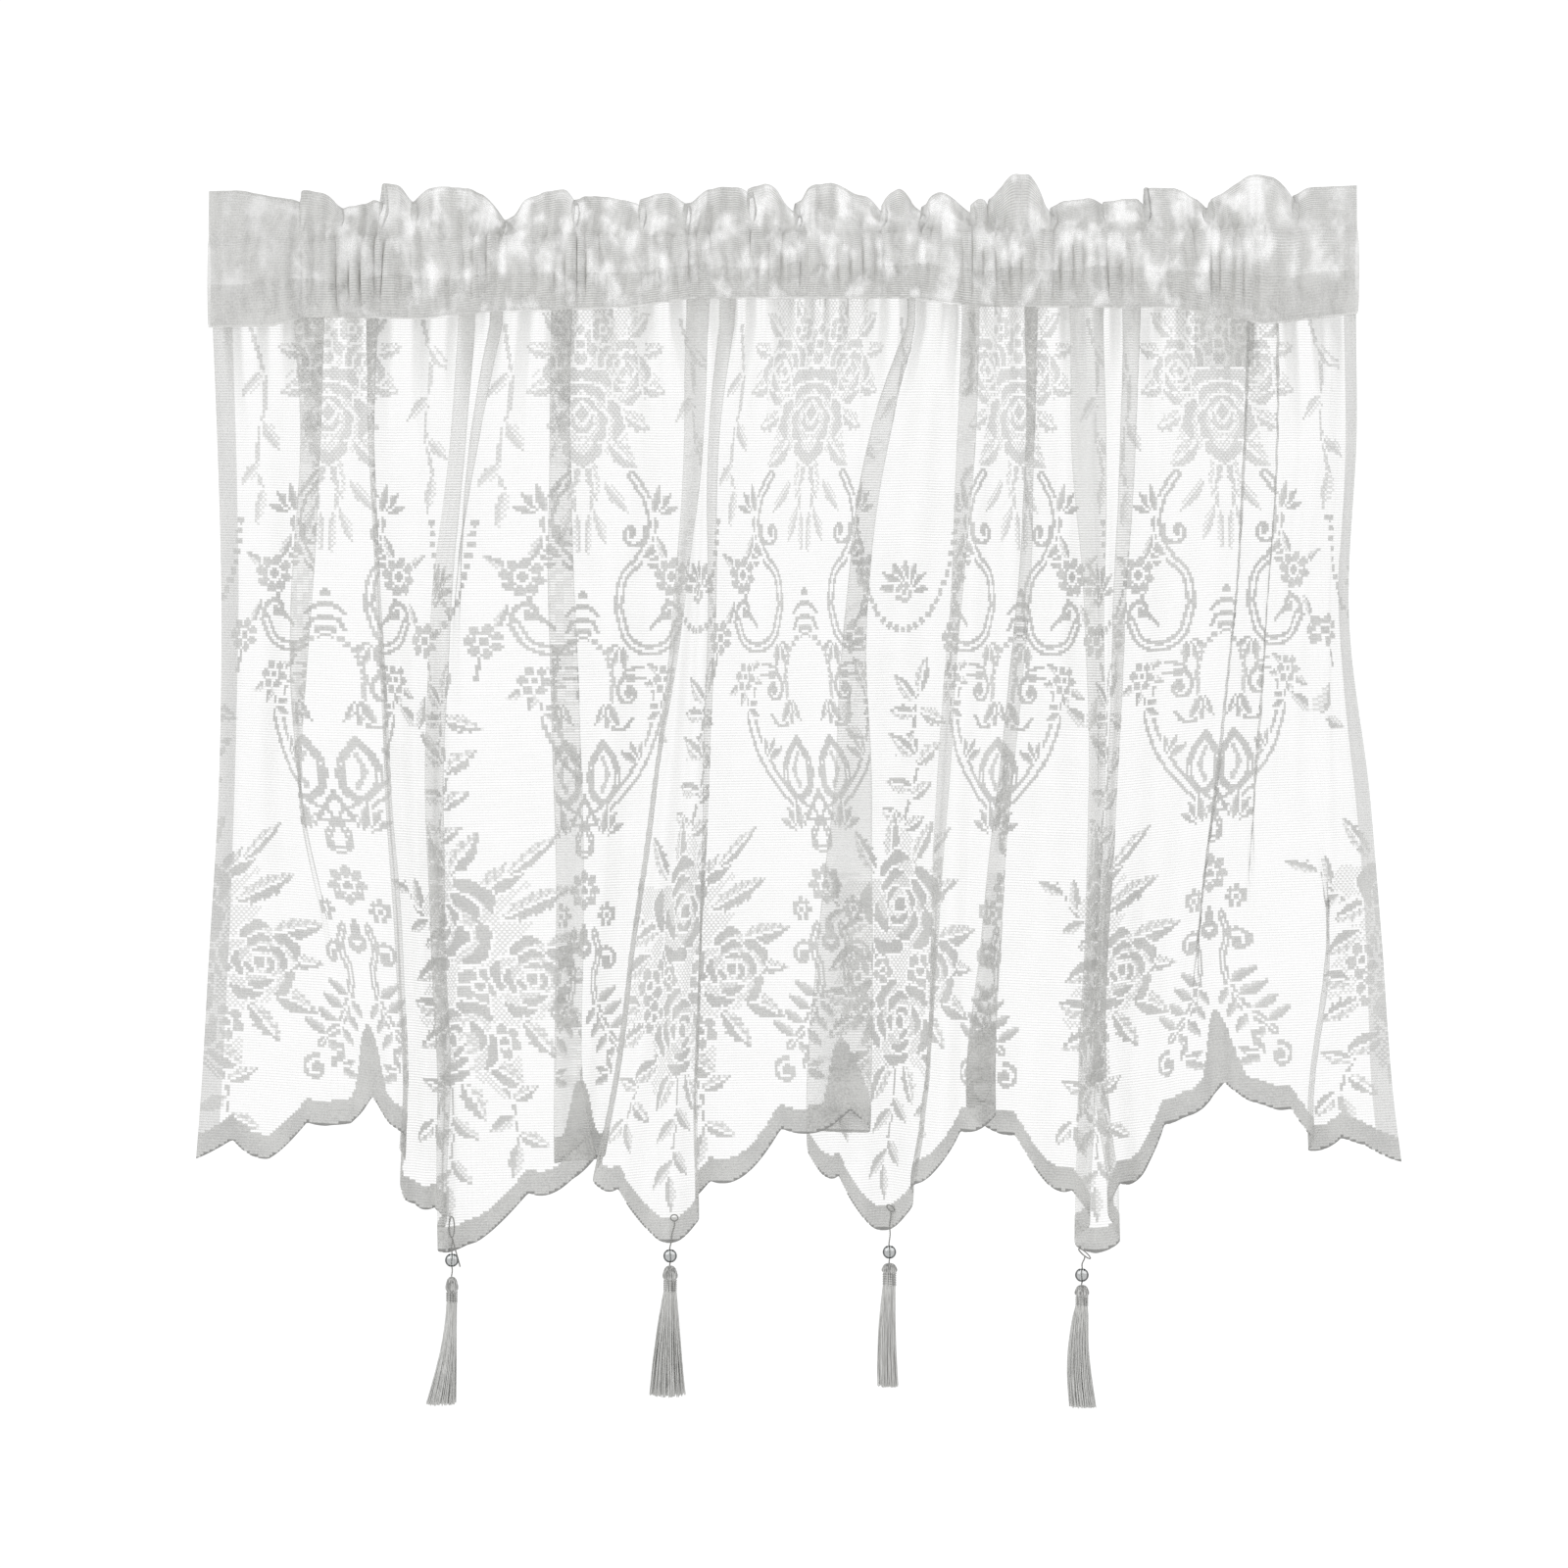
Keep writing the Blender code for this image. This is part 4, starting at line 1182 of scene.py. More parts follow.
@dataclass(frozen=True)
class GlassFinish:
    """Clear glass with a faint cool tint, and painted shade that darkens it towards its rim."""

    name: str
    clear: Colour = (0.97, 0.985, 0.985)
    # Colour at the rim: painted shade
    rim: Colour = (0.03, 0.035, 0.035)

    def make(self) -> Material:
        """Build the material.

        Returns:
            The material.
        """
        shade = Shader(self.name, self.clear, 0.02)
        facing = shade.node("ShaderNodeLayerWeight", {"Blend": 0.5}).outputs["Facing"]
        # Painted shade: darker as the surface turns away from the eye
        shade.set("Base Color", shade.blend(shade.ramp(facing, 0.24, 0.42), self.clear, self.rim))
        shade.set("Transmission Weight", 1.0)
        shade.set("IOR", 1.5)
        return shade.material


@dataclass(frozen=True)
class TapeFinish:
    """Close plain-woven tape, half clear."""

    name: str
    colour: Colour = (0.95, 0.95, 0.93)
    deep: Colour = (0.88, 0.88, 0.86)
    hem_from: float = 0.2565
    hem_more: float = 0.2

    def make(self) -> Material:
        """Build the material: a fine plain weave on the UV map.

        Returns:
            The material.
        """
        shade = Shader(self.name, self.colour, 0.8)
        uv = shade.cloth_place()
        weave = shade.node("ShaderNodeTexChecker", {"Vector": uv, "Scale": 2400.0}).outputs["Fac"]
        tone = shade.weigh(weave, shade.noise(uv, 300.0, 3.0), 0.5)
        shade.set("Base Color", shade.blend(tone, self.deep, self.colour))
        across = shade.node("ShaderNodeSeparateXYZ", {"Vector": uv}).outputs["X"]
        hem = shade.ramp(across, self.hem_from - 0.3 * MM, self.hem_from, 0.0, self.hem_more)
        shade.set("Alpha", shade.calc("ADD", shade.ramp(tone, 0.2, 0.8, 0.20, 0.32), hem))
        shade.bump(weave, 0.3, 0.0002)
        return shade.material


@dataclass
class Skirt:
    """The gathered net with its worked pattern, side hems and scalloped border."""

    drape: Drape
    chart: LaceChart
    column_step: float = 1.22
    rows: int = 68
    border_wide: float = 14.0
    tongue_tall: float = 28.0
    tongue_half: float = 10.5
    inner_share: float = 0.3
    border: float = 1.12
    # The hem's bound edge: closed, and painted dark as the shade along it
    shaded_bound: float = 1.6
    shaded_bound_wide: float = 1.3
    gather_close: float = 0.72
    gather_reach: float = 26.0
    gather_span: Place = (8.0, 30.0)
    gather_drift: float = 0.05
    gather_waves: int = 6
    side_hem: float = 0.62
    side_pattern: float = 0.35
    hidden_border: float = 0.8
    least_cell: float = 0.25
    under_seam: float = 0.3
    area_samples: int = 400
    seed: int = 5
    proud: float = 0.25
    lift_starts: float = 40.0
    lift_over: float = 420.0
    lift: tuple = (
        # flat coordinate, lift of the courses at the hem
        (-567, 9), (-530, 7), (-472, 3), (-354, -4), (-118, 2), (118, 6),
        (354, -4.5), (472, 11), (530, 14), (577, 17),
    )

    def raise_by(self, flat: Array, length: Array) -> Array:
        """How far a course lies over its level place."""
        return table_line(self.lift, flat) * smoothstep((-length - self.lift_starts) / self.lift_over)

    def build_net(self, finish: Material) -> Piece:
        """Build the bare net, from the pocket seam to the hem.

        Args:
            finish: Its material.

        Returns:
            The net.
        """
        count = round(FLAT_WIDE / self.column_step)
        flat = np.linspace(FLAT_LEFT, FLAT_RIGHT, count + 1)
        share = np.linspace(0.0, 1.0, self.rows + 1)[:, None]
        top, foot = self.drape.top(flat), hem_height(flat)
        z = top + (foot - top) * share
        flats = np.broadcast_to(flat, z.shape)
        points = self.drape.hang(flats, z)
        net = flat_mesh("lace_net", points.reshape(-1, 3), grid_faces(*z.shape))
        set_uv(net, flats.ravel(), (z - self.raise_by(flats, z)).ravel())
        open_net = (1.0 - self.gathered_in(flats, z).ravel()) * (1.0 - crowded(net, NET_YARN))
        set_worked(net, 1.0 - open_net, "POINT")
        return fit(net, finish, "lace", "skirt")

    def lattice(self) -> tuple[Array, Array, Array, Array]:
        """Corners of the cells of the whole panel.

        Returns:
            The flat coordinates and heights of the corners, the place of each corner's course down the
            cloth, and the chart's cells for the whole width.
        """
        wale = self.chart.wale
        first, last = math.ceil(FLAT_LEFT / wale), math.floor(FLAT_RIGHT / wale)
        number = np.arange(first, last + 1)
        flat = number * wale
        flat[0], flat[-1] = FLAT_LEFT, FLAT_RIGHT
        length = (self.chart.top - np.arange(self.chart.rows + 1) * self.chart.course)[:, None]
        z = length + self.raise_by(flat, length)
        z = np.clip(z, hem_height(flat), self.drape.top(flat) - self.under_seam)
        cells = self.chart.cells[:, number[:-1] % self.chart.wales]
        return np.broadcast_to(flat, z.shape), z, np.broadcast_to(length, z.shape), cells

    def build_worked(self, name: str, cells: Array, finish: Material) -> Piece:
        """Build cells of worked lace on the net.

        Args:
            name: Name of the piece.
            cells: How closely each cell is worked, 0 where it is left out.
            finish: Its material.

        Returns:
            The piece.
        """
        flats, z, length, _ = self.lattice()
        tall = (z[:-1] - z[1:])[:, :-1]
        kept = (cells > 0.0) & (tall > self.least_cell)
        faces = grid_faces(*z.shape)[kept.ravel()]
        used, compact = np.unique(faces, return_inverse=True)
        points = self.drape.hang(flats, z, self.proud).reshape(-1, 3)[used]
        piece = flat_mesh(name, points, compact.reshape(-1, 4))
        set_uv(piece, flats.ravel()[used], length.ravel()[used])
        set_worked(piece, cells[kept], "FACE")
        return fit(piece, finish, "lace")

    def folded_in(self) -> Array:
        """Find the cells that are turned back between two creases.

        Returns:
            Share of its yarn that each cell shows, 1 on the outside.
        """
        flats, heights, _, _ = self.lattice()
        flat, height = flats[:-1, :-1], heights[:-1, :-1]
        down = np.clip((height - LEVELS[0]) / (LEVELS[-1] - LEVELS[0]), 0.0, 1.0)
        shows = np.ones_like(height)
        levels = height.mean(axis=1)
        for _, at_pocket, at_hem, creases in FOLDS:
            start, end = [p + (h - p) * down for p, h in zip(at_pocket, at_hem)]
            left, right = [[through(LEVELS, [c[k] for c in creases], z) for z in levels] for k in (0, 1)]
            shut = smoothstep(np.subtract(right, left) / OPENING_SPAN)[:, None]
            inside = (flat > start + 1.0) & (flat < end - 1.0)
            shows = np.where(inside, 1.0 - (1.0 - self.inner_share) * shut, shows)
        return shows

    def border_cells(self) -> Array:
        """Lay out the woven border and the side hems.

        Returns:
            How closely each cell of them is worked, 0 elsewhere.
        """
        flats, z, _, cells = self.lattice()
        middle = (flats[:-1, :-1] + flats[:-1, 1:]) / 2.0
        height = (z[:-1, :-1] + z[1:, :-1]) / 2.0
        tongue = np.exp(-((from_notch(middle) / self.tongue_half) ** 3))
        wide = self.border_wide + self.tongue_tall * tongue
        over = height - hem_height(middle)
        border = np.where(over < wide, self.border, 0.0)
        side = np.minimum(middle - FLAT_LEFT, FLAT_RIGHT - middle) < SIDE_HEM_WIDE
        hem = np.maximum(border, self.side_hem + self.side_pattern * (cells > 0.0))
        border = np.where(side, hem, border)
        # The thin row along the hem is closed and painted dark as shade
        return np.where(over < self.shaded_bound_wide, self.shaded_bound, border)

    def gathered_in(self, flat: Array, z: Array) -> Array:
        """How much closer the net is in the small gathers that run out under the pocket seam.

        Args:
            flat: Flat coordinate of each point.
            z: Its height.

        Returns:
            The closeness of each point, in streaks that fade downwards.
        """
        chance = np.random.default_rng(self.seed)
        depth = self.drape.top(flat[0]) - z
        total = np.zeros_like(z)
        for _ in range(self.gather_waves):
            length, phase = chance.uniform(*self.gather_span), chance.uniform(*PHASES)
            drift = chance.uniform(-self.gather_drift, self.gather_drift)
            total += np.sin(TURN * flat / length + phase + drift * depth)
        streak = 0.5 + 0.5 * np.tanh(total)
        reach = self.gather_reach * (0.45 + streak)
        return self.gather_close * streak * np.exp(-((depth / reach) ** 1.5))

    def build(self, finish: Material, worked: Material) -> Piece:
        """Args:
            finish: The net's material.
            worked: The pattern's and the border's material.

        Returns:
            The net.
        """
        net = self.build_net(finish)
        shows = self.folded_in()
        border = self.border_cells() * (self.hidden_border + (1.0 - self.hidden_border) * shows)
        cells = self.lattice()[3] * shows
        pattern = self.build_worked("worked_pattern", np.where(border > 0.0, 0.0, cells), worked)
        edging = self.build_worked("woven_border", border, worked)
        flat = np.linspace(FLAT_LEFT, FLAT_RIGHT, self.area_samples)
        tall = self.drape.top(flat) - hem_height(flat)
        return net


# Heading: lengths along its cloth, its sets of gathers, its ruffles, and where it is made closer, so darker
WALL_TALL = 47.0
WALL_FOOT = 30.0
FRILL_TALL = 28.0
TURN_IN_TALL = 25.0
COMMON_GATHERS = 5
WALL_GATHERS = 2
WALL_UNEVEN = 10
TURN_IN_UNEVEN = 6
RUFFLES = (
    # lean towards the window, then the crest's places across and heights
    (1, ((-328, 43.1), (-310, 43.7), (-293, 40.3), (-277, 38), (-273, 35))),
    (-4, ((-277, 36), (-276, 43), (-273, 43.7), (-258, 40.3), (-253, 32))),
    (3.5, ((-256, 31), (-250, 34.7), (-240, 35.8), (-233.5, 39.2), (-228, 36))),
    (-4.5, ((-233, 34), (-228.5, 47.6), (-217, 45.4), (-211, 34))),
    (4.5, ((-214, 33), (-206, 43.7), (-198, 46.5), (-180, 45.4), (-170, 41), (-162.4, 32), (-158, 24))),
    (-4.5, ((-161, 24), (-152, 29), (-150, 36.4), (-136, 42), (-122.6, 44.2), (-117, 33))),
    (4, ((-120, 33), (-115.4, 40.9), (-100, 40.3), (-82, 36.4), (-79, 33))),
    (-4, ((-83, 33), (-78, 39.8), (-65, 42), (-58, 37.5), (-53, 33))),
    (4.5, ((-57, 32), (-45, 44.2), (-32.5, 46.5), (-20.7, 44.8), (-17, 38))),
    (-5, ((-22, 36), (-19, 43), (-13, 47), (-4, 45.9), (-1.7, 38.6), (5, 31.9), (10, 27))),
    (5, ((8, 28), (11.8, 43.1), (15, 47), (30, 48.7), (41, 42), (50, 40.3), (57, 30))),
    (-4, ((55, 30), (58.2, 38.6), (67.8, 46.5), (70, 40.3), (81, 28))),
    (4.5, ((78, 28), (85, 42.6), (93.5, 43.1), (108, 30))),
    (-4, ((105, 30), (113, 40.9), (121, 29))),
    (-7, ((118, 30), (124.9, 47.6), (131, 52.1), (142.8, 51.5), (148.4, 35.8), (155, 27))),
    (4, ((151, 28), (157.4, 37.5), (177, 39.8), (186, 34))),
    (-4, ((181, 33), (186, 37.2), (203, 38.6), (207, 34))),
    (4.5, ((202, 34), (204.4, 45.4), (225.7, 45.4), (239.7, 37), (243, 32))),
    (-6, ((237, 33), (255.9, 44.8), (266.6, 52.1), (280.6, 50.4), (290, 40.9), (293, 34))),
    (1.5, ((287, 36), (299, 45.4), (328, 46.5))),
)
END_CLOSE = (
    # flat coordinate, how much closer, so darker, the heading is made
    (-567, 0.62), (-500, 0.60), (-420, 0.30), (-340, 0.04), (450, 0.02), (520, 0.16), (577, 0.28),
)
FOOT_CLOSE = (
    # flat coordinate, how much closer, so darker, its foot is made
    (-567, 0.40), (-500, 0.25), (-430, 0.14), (420, 0.14), (500, 0.35), (577, 0.60),
)


@dataclass(frozen=True)
class Stations:
    """Places along the gathered heading: crests of the frill, and the pinch and seam under them."""

    flat: Array
    crest: Array
    normal: Array
    x_pinch: Array
    seam: Array
    pinch: Array


@dataclass(frozen=True)
class Row:
    """One row of the heading's cloth, its place along the flat length and how far it is drawn inwards."""

    points: Array
    length: float
    # How far the row is drawn inwards, and on the crest a set amount: it weighs the shade painted into the
    # row
    drawn_in_shade: Array


@dataclass
class Heading:
    """The frill and the empty rod pocket: one cloth, up the room side, over the top and down again."""

    chart: LaceChart
    seed: int = 7
    station_step: float = 1.0
    even_share: float = 0.5
    gather_span: Place = (8.5, 24.0)
    gather_weight: Place = (0.4, 0.8)
    gather_drift: float = 4.0
    gather_waves: int = 6
    sag_span: Place = (35.0, 150.0)
    sag_waves: int = 5
    end_calm: float = 60.0
    crest_round: int = 11
    crest_lap: float = 0.6
    # Closeness laid along the crest's fold: painted shade
    crest_shade_close: float = 0.8
    frill_half: float = 1.3
    frill_puff: float = 1.3
    puff_end: float = 0.94
    pinch_half: float = 2.0
    pinch_stray: float = 0.9
    uneven_belly: float = 0.22
    flower_close: float = 0.55
    # Closeness laid in the gathers' valleys: painted shade
    valley_shade_close: float = 0.75
    hem_close: float = 0.3
    frill_open: float = 0.3
    opens_over: float = 12.0
    foot_tall: float = 24.0
    foot_fades: float = 8.0
    seam_calm: float = 0.5
    overhang: float = 1.2
    fades_up: float = 0.5
    wall_half: float = 9.4
    seam_half: float = 3.0
    turn_in_share: float = 0.5
    turn_in_off: float = 1.3
    turn_in_stray: float = 1.6
    turn_in_rise: float = 0.8
    # Share of the valleys' painted shade kept in the turned-in hem
    turn_in_valley_shade: float = 0.3
    seam_over: float = 1.6
    lip_front: float = 1.6
    pucker_deep: float = 3.7
    wall_rows: int = 18
    frill_rows: int = 12
    fold_rows: int = 5
    turn_rows: int = 7

    def crest_line(self) -> tuple[Array, Array, Array]:
        """Run along the frill's top edge, through each ruffle and back behind or before the next one.

        Returns:
            The places across and in depth of the stations, and their heights.
        """
        places, depths, heights = [], [], []
        round_off = np.hanning(self.crest_round + 2)[1:-1]
        round_off /= round_off.sum()
        start = -HEADING_HALF
        for lean, crest in RUFFLES:
            x_given, z_given = np.array(crest).T
            start = max(x_given[0], start - self.crest_lap)
            count = max(6, round((x_given[-1] - start) / self.station_step))
            x = np.linspace(start, x_given[-1], count)
            bow = np.sin(math.pi * np.linspace(1.0 - self.puff_end, self.puff_end, count)) ** 0.7
            z = np.pad(np.interp(x, x_given, z_given), self.crest_round // 2, "edge")
            places.append(x)
            depths.append(lean * (0.25 + 0.75 * bow))
            heights.append(np.convolve(z, round_off, "valid"))
            start = x_given[-1]
        y = np.concatenate(depths)
        y[1:-1] = np.convolve(y, (0.25, 0.5, 0.25), "valid")
        return np.concatenate(places), y, np.concatenate(heights)

    def waves(self, flat: Array, rows: Array, number: int) -> Array:
        """Uneven gathers: several waves along the cloth that drift as they run down it.

        Args:
            flat: Flat coordinate of each station.
            rows: Share of the way up the cloth, one for each row.
            number: Which set of gathers.

        Returns:
            Offsets from -1 to 1, one row for each row and one column for each station.
        """
        chance = np.random.default_rng(self.seed + number)
        total = np.zeros((len(rows), len(flat)))
        for _ in range(self.gather_waves):
            length = chance.uniform(*self.gather_span)
            phase, weight = chance.uniform(*PHASES), chance.uniform(*self.gather_weight)
            drift = chance.uniform(-self.gather_drift, self.gather_drift)
            total += weight * np.sin(TURN * flat / length + phase + drift * rows[:, None])
        calm = 0.8 + 0.35 * np.sin(flat / 23.0 + number) * np.sin(flat / 61.0 + 2.0 * number)
        return np.tanh(total) * self.gathered(flat) * calm

    def sag(self, line: Stations, number: int) -> Array:
        """Slow unevenness along the heading.

        Args:
            line: The stations.
            number: Which set of waves.

        Returns:
            Offsets from about -1 to 1, one for each station.
        """
        chance = np.random.default_rng(self.seed + number)
        total = np.zeros(len(line.flat))
        for _ in range(self.sag_waves):
            length, phase = chance.uniform(*self.sag_span), chance.uniform(*PHASES)
            total += np.sin(TURN * line.flat / length + phase)
        return total / 3.0

    def gathered(self, flat: Array) -> Array:
        """How strongly the cloth is gathered: hardly at both ends, where its hems lie flat."""
        from_end = np.minimum(flat - FLAT_LEFT, FLAT_RIGHT - flat)
        return 0.25 + 0.75 * smoothstep(from_end / self.end_calm - 1.0)

    def stations(self) -> Stations:
        """Run the gathered cloth through the frill's crests and through the pinch.

        Returns:
            The stations.
        """
        x_top, y_top, z_top = self.crest_line()
        step = np.concatenate([[0.0], np.hypot(np.diff(x_top), np.diff(y_top))]) + 0.25
        run = np.cumsum(step) - step[0]
        flat = FLAT_LEFT + FLAT_WIDE * run / run[-1]
        forward = (np.maximum.accumulate(x_top) + np.minimum.accumulate(x_top[::-1])[::-1]) / 2.0
        spread = forward + self.even_share * run
        x_pinch = np.interp(spread, (spread[0], spread[-1]), (-HEADING_HALF, HEADING_HALF))
        stray = self.pinch_stray * np.sin(flat / 17.0 + 1.3 * np.sin(flat / 41.0))
        way = np.stack([np.gradient(x_top), np.gradient(y_top)], axis=-1)
        way /= np.maximum(np.linalg.norm(way, axis=-1, keepdims=True), TINY)
        normal = np.stack([-way[:, 1], way[:, 0]], axis=-1)
        return Stations(flat, np.stack([x_top, y_top, z_top]), normal, x_pinch,
                        table_line(POCKET_SEAM, x_pinch), table_line(PINCH_LINE, x_pinch) + stray)

    def wall(self, line: Stations, side: float, shares: Array, half: float) -> list[Row]:
        """Rows of a pocket wall: bellied out, pleated alike at the pinch and each in its own way below.

        Args:
            line: The stations.
            side: -1 for the room side, 1 for the window side.
            shares: Share of the way from the seam to the pinch for each row.
            half: How far the wall stands off at its belly.

        Returns:
            The rows.
        """
        common = self.waves(line.flat, shares - 1.0, COMMON_GATHERS)
        own = self.waves(line.flat, shares, WALL_GATHERS + round(side))
        fuller = 1.0 + self.uneven_belly * self.sag(line, WALL_UNEVEN + round(side))
        rows = []
        for k, share in enumerate(shares):
            belly = math.sin(math.pi * min(share * 0.94 + 0.06, 1.0)) ** 0.6
            edge = self.seam_half + (self.pinch_half - self.seam_half) * share
            deep = side * (edge + (half - edge) * belly * fuller)
            held = self.seam_calm + (1.0 - self.seam_calm) * float(smoothstep(share / 0.4))
            pull = ((1.0 - belly) * common[k] + belly * own[k]) * held
            x = line.x_pinch - side * self.overhang * np.gradient(pull)
            z = line.seam + (line.pinch - line.seam) * share
            points = np.stack([x, deep + self.pucker_deep * pull, z], axis=-1)
            rows.append(Row(points, share * WALL_TALL - WALL_FOOT, -side * pull))
        return rows

    def frill(self, line: Stations, side: float, shares: Array) -> list[Row]:
        """Rows of one layer of the frill, from the pinch to the crests.

        Args:
            line: The stations.
            side: -1 for the room side, 1 for the window side.
            shares: Share of the way from the pinch to the crest for each row.

        Returns:
            The rows.
        """
        x_top, y_top, z_top = line.crest
        common = self.waves(line.flat, 0.5 * shares, COMMON_GATHERS)
        rows = []
        for k, share in enumerate(shares):
            ease = float(smoothstep(share * 1.15))
            half = self.frill_half + self.frill_puff * math.sin(math.pi * min(share, self.puff_end))
            half += (self.pinch_half - self.frill_half) * (1.0 - ease)
            pull = common[k] * (1.0 - self.fades_up * share)
            off = side * half + self.pucker_deep * pull
            x = line.x_pinch + (x_top - line.x_pinch) * ease + line.normal[:, 0] * off * ease
            y = y_top * ease + off * (line.normal[:, 1] * ease + (1.0 - ease))
            z = line.pinch + (z_top - self.frill_half - line.pinch) * share
            place = WALL_TALL - WALL_FOOT + share * FRILL_TALL
            rows.append(Row(np.stack([x, y, z], axis=-1), place, -side * pull))
        return rows

    def fold_over(self, line: Stations) -> list[Row]:
        """Rows round the frill's folded top edge.

        Args:
            line: The stations.

        Returns:
            The rows, from the room side to the window side.
        """
        x_top, y_top, z_top = line.crest
        common = self.waves(line.flat, np.array([0.5]), COMMON_GATHERS)[0]
        half = self.frill_half + self.frill_puff * math.sin(math.pi * self.puff_end)
        rows = []
        for k in range(1, self.fold_rows):
            turn = math.pi * k / self.fold_rows
            off = -math.cos(turn) * half + self.pucker_deep * common * (1.0 - self.fades_up)
            x, y = x_top + line.normal[:, 0] * off, y_top + line.normal[:, 1] * off
            z = z_top - self.frill_half * (1.0 - math.sin(turn))
            place = WALL_TALL - WALL_FOOT + FRILL_TALL + k
            # The crest's fold takes its painted shade
            rows.append(Row(np.stack([x, y, z], axis=-1), place, np.full_like(x, self.crest_shade_close)))
        return rows

    def turn_in(self, line: Stations) -> list[Row]:
        """Rows of the hem that is turned in and lies against the inside of the window-side wall.

        Args:
            line: The stations.

        Returns:
            The rows, upwards.
        """
        shares = np.linspace(0.0, self.turn_in_share, self.turn_rows)
        uneven = self.turn_in_stray * self.sag(line, TURN_IN_UNEVEN)
        rows = []
        for row in self.wall(line, 1.0, shares, self.wall_half):
            up = (row.length + WALL_FOOT) / (self.turn_in_share * WALL_TALL)
            row.points[:, 1] -= self.turn_in_off
            row.points[:, 2] += self.turn_in_rise + up * uneven
            # The turned-in hem takes a fainter painted valley shade
            rows.append(Row(row.points, TURN_IN_TALL * up - WALL_FOOT, self.turn_in_valley_shade * row.drawn_in_shade))
        return rows

    def build(self, finish: Material) -> Piece:
        """Args:
            finish: Its material.

        Returns:
            The heading.
        """
        line = self.stations()
        up = np.linspace(0.0, 1.0, self.wall_rows + 1)
        rise = np.linspace(0.0, 1.0, self.frill_rows + 1)[1:]
        count = len(line.flat)
        front = np.full(count, -self.lip_front)
        lip = np.stack([line.x_pinch, front, line.seam - self.seam_over], axis=-1)
        rows = [Row(lip, -WALL_FOOT - self.seam_over, np.zeros(count))]
        rows += self.wall(line, -1.0, up, self.wall_half)
        rows += self.frill(line, -1.0, rise)
        rows += self.fold_over(line)
        rows += self.frill(line, 1.0, rise[::-1])
        rows += self.wall(line, 1.0, up[::-1], self.wall_half)
        rows += self.turn_in(line)
        grid = np.stack([row.points for row in rows])
        piece = flat_mesh("frilled_heading", grid.reshape(-1, 3), grid_faces(*grid.shape[:2]))
        length = np.repeat(np.array([row.length for row in rows]), count)
        flats = np.tile(line.flat, len(rows))
        set_uv(piece, flats, length)
        drawn_in_shade = np.concatenate([row.drawn_in_shade for row in rows])
        bare = (1.0 - self.worked(flats, length, drawn_in_shade)) * (1.0 - crowded(piece, HEADING_YARN))
        set_worked(piece, 1.0 - bare, "POINT")
        fit(piece, finish, "lace", "heading")
        return piece

    def worked(self, flat: Array, length: Array, drawn_in_shade: Array) -> Array:
        """How close the heading is: the chart's flowers, and closer still as painted shade where gathers
        draw it in.

        Args:
            flat: Flat coordinate of each point.
            length: Place of each point along the cloth's length.
            drawn_in_shade: How far the gathers draw each point inwards, from -1 to 1; it weighs the painted
                shade.

        Returns:
            The closeness of each point.
        """
        row = np.clip(((self.chart.top - length) / self.chart.course).astype(int), 0, self.chart.rows - 1)
        column = (np.floor(flat / self.chart.wale).astype(int)) % self.chart.wales
        close = self.flower_close * self.chart.cells[row, column]
        # Painted shade: the gathers' valleys and the crest's fold are made closer, so darker
        close += self.valley_shade_close * np.clip(drawn_in_shade, 0.0, 1.0) ** 1.3
        from_end = np.minimum(flat - FLAT_LEFT, FLAT_RIGHT - flat)
        close *= 1.0 - self.frill_open * smoothstep((length + WALL_FOOT - WALL_TALL) / self.opens_over)
        close += self.hem_close * (from_end < SIDE_HEM_WIDE) + table_line(END_CLOSE, flat)
        foot = smoothstep((self.foot_tall - length - WALL_FOOT) / self.foot_fades)
        close += foot * table_line(FOOT_CLOSE, flat)
        return np.clip(close, 0.0, 1.0)


@dataclass
class Flap:
    """The blank tape folded in two and sewn into the pocket seam behind the net."""

    left: float = 236.0
    right: float = 270.0
    bottom: float = -56.5
    back: float = 4.3
    spring: float = 5.0
    bow: float = 0.8
    apart: float = 0.35
    under_seam: float = 0.3
    layer_tall: float = 27.0
    columns: int = 24
    rows: int = 20

    def build(self, finish: Material) -> Piece:
        """Build both layers of the tape, joined by the fold at its foot.

        Args:
            finish: Its material.

        Returns:
            The flap.
        """
        x = np.linspace(self.left, self.right, self.columns + 1)
        top = table_line(POCKET_SEAM, x) - self.under_seam
        across = np.sin(math.pi * np.linspace(0.0, 1.0, self.columns + 1))
        shares = np.linspace(0.0, 1.0, self.rows + 1)
        route = [(s, -self.apart) for s in shares] + [(s, self.apart) for s in shares[::-1]]
        points = []
        for share, off in route:
            y = self.back + self.spring * math.sin(0.5 * math.pi * share) + self.bow * across * share + off
            points.append(np.stack([x, y, top + (self.bottom - top) * share], axis=-1))
        grid = np.stack(points)
        piece = flat_mesh("plain_flap", grid.reshape(-1, 3), grid_faces(*grid.shape[:2]))
        down = np.concatenate([shares, 2.0 - shares[::-1]]) * self.layer_tall
        set_uv(piece, np.tile(x, len(route)), np.repeat(down, len(x)))
        fit(piece, finish, "tape", "flap")
        return piece


def nothing_selected() -> None:
    """Clear the selection, so that an operator acts on its own piece alone."""
    bpy.ops.object.select_all(action="DESELECT")


def to_mesh(curve: Piece) -> Piece:
    """Turn a curve object into a mesh.

    Args:
        curve: The curve object.

    Returns:
        The same object, now a mesh.
    """
    nothing_selected()
    curve.select_set(True)
    bpy.context.view_layer.objects.active = curve
    bpy.ops.object.convert(target="MESH")
    curve.select_set(False)
    return curve


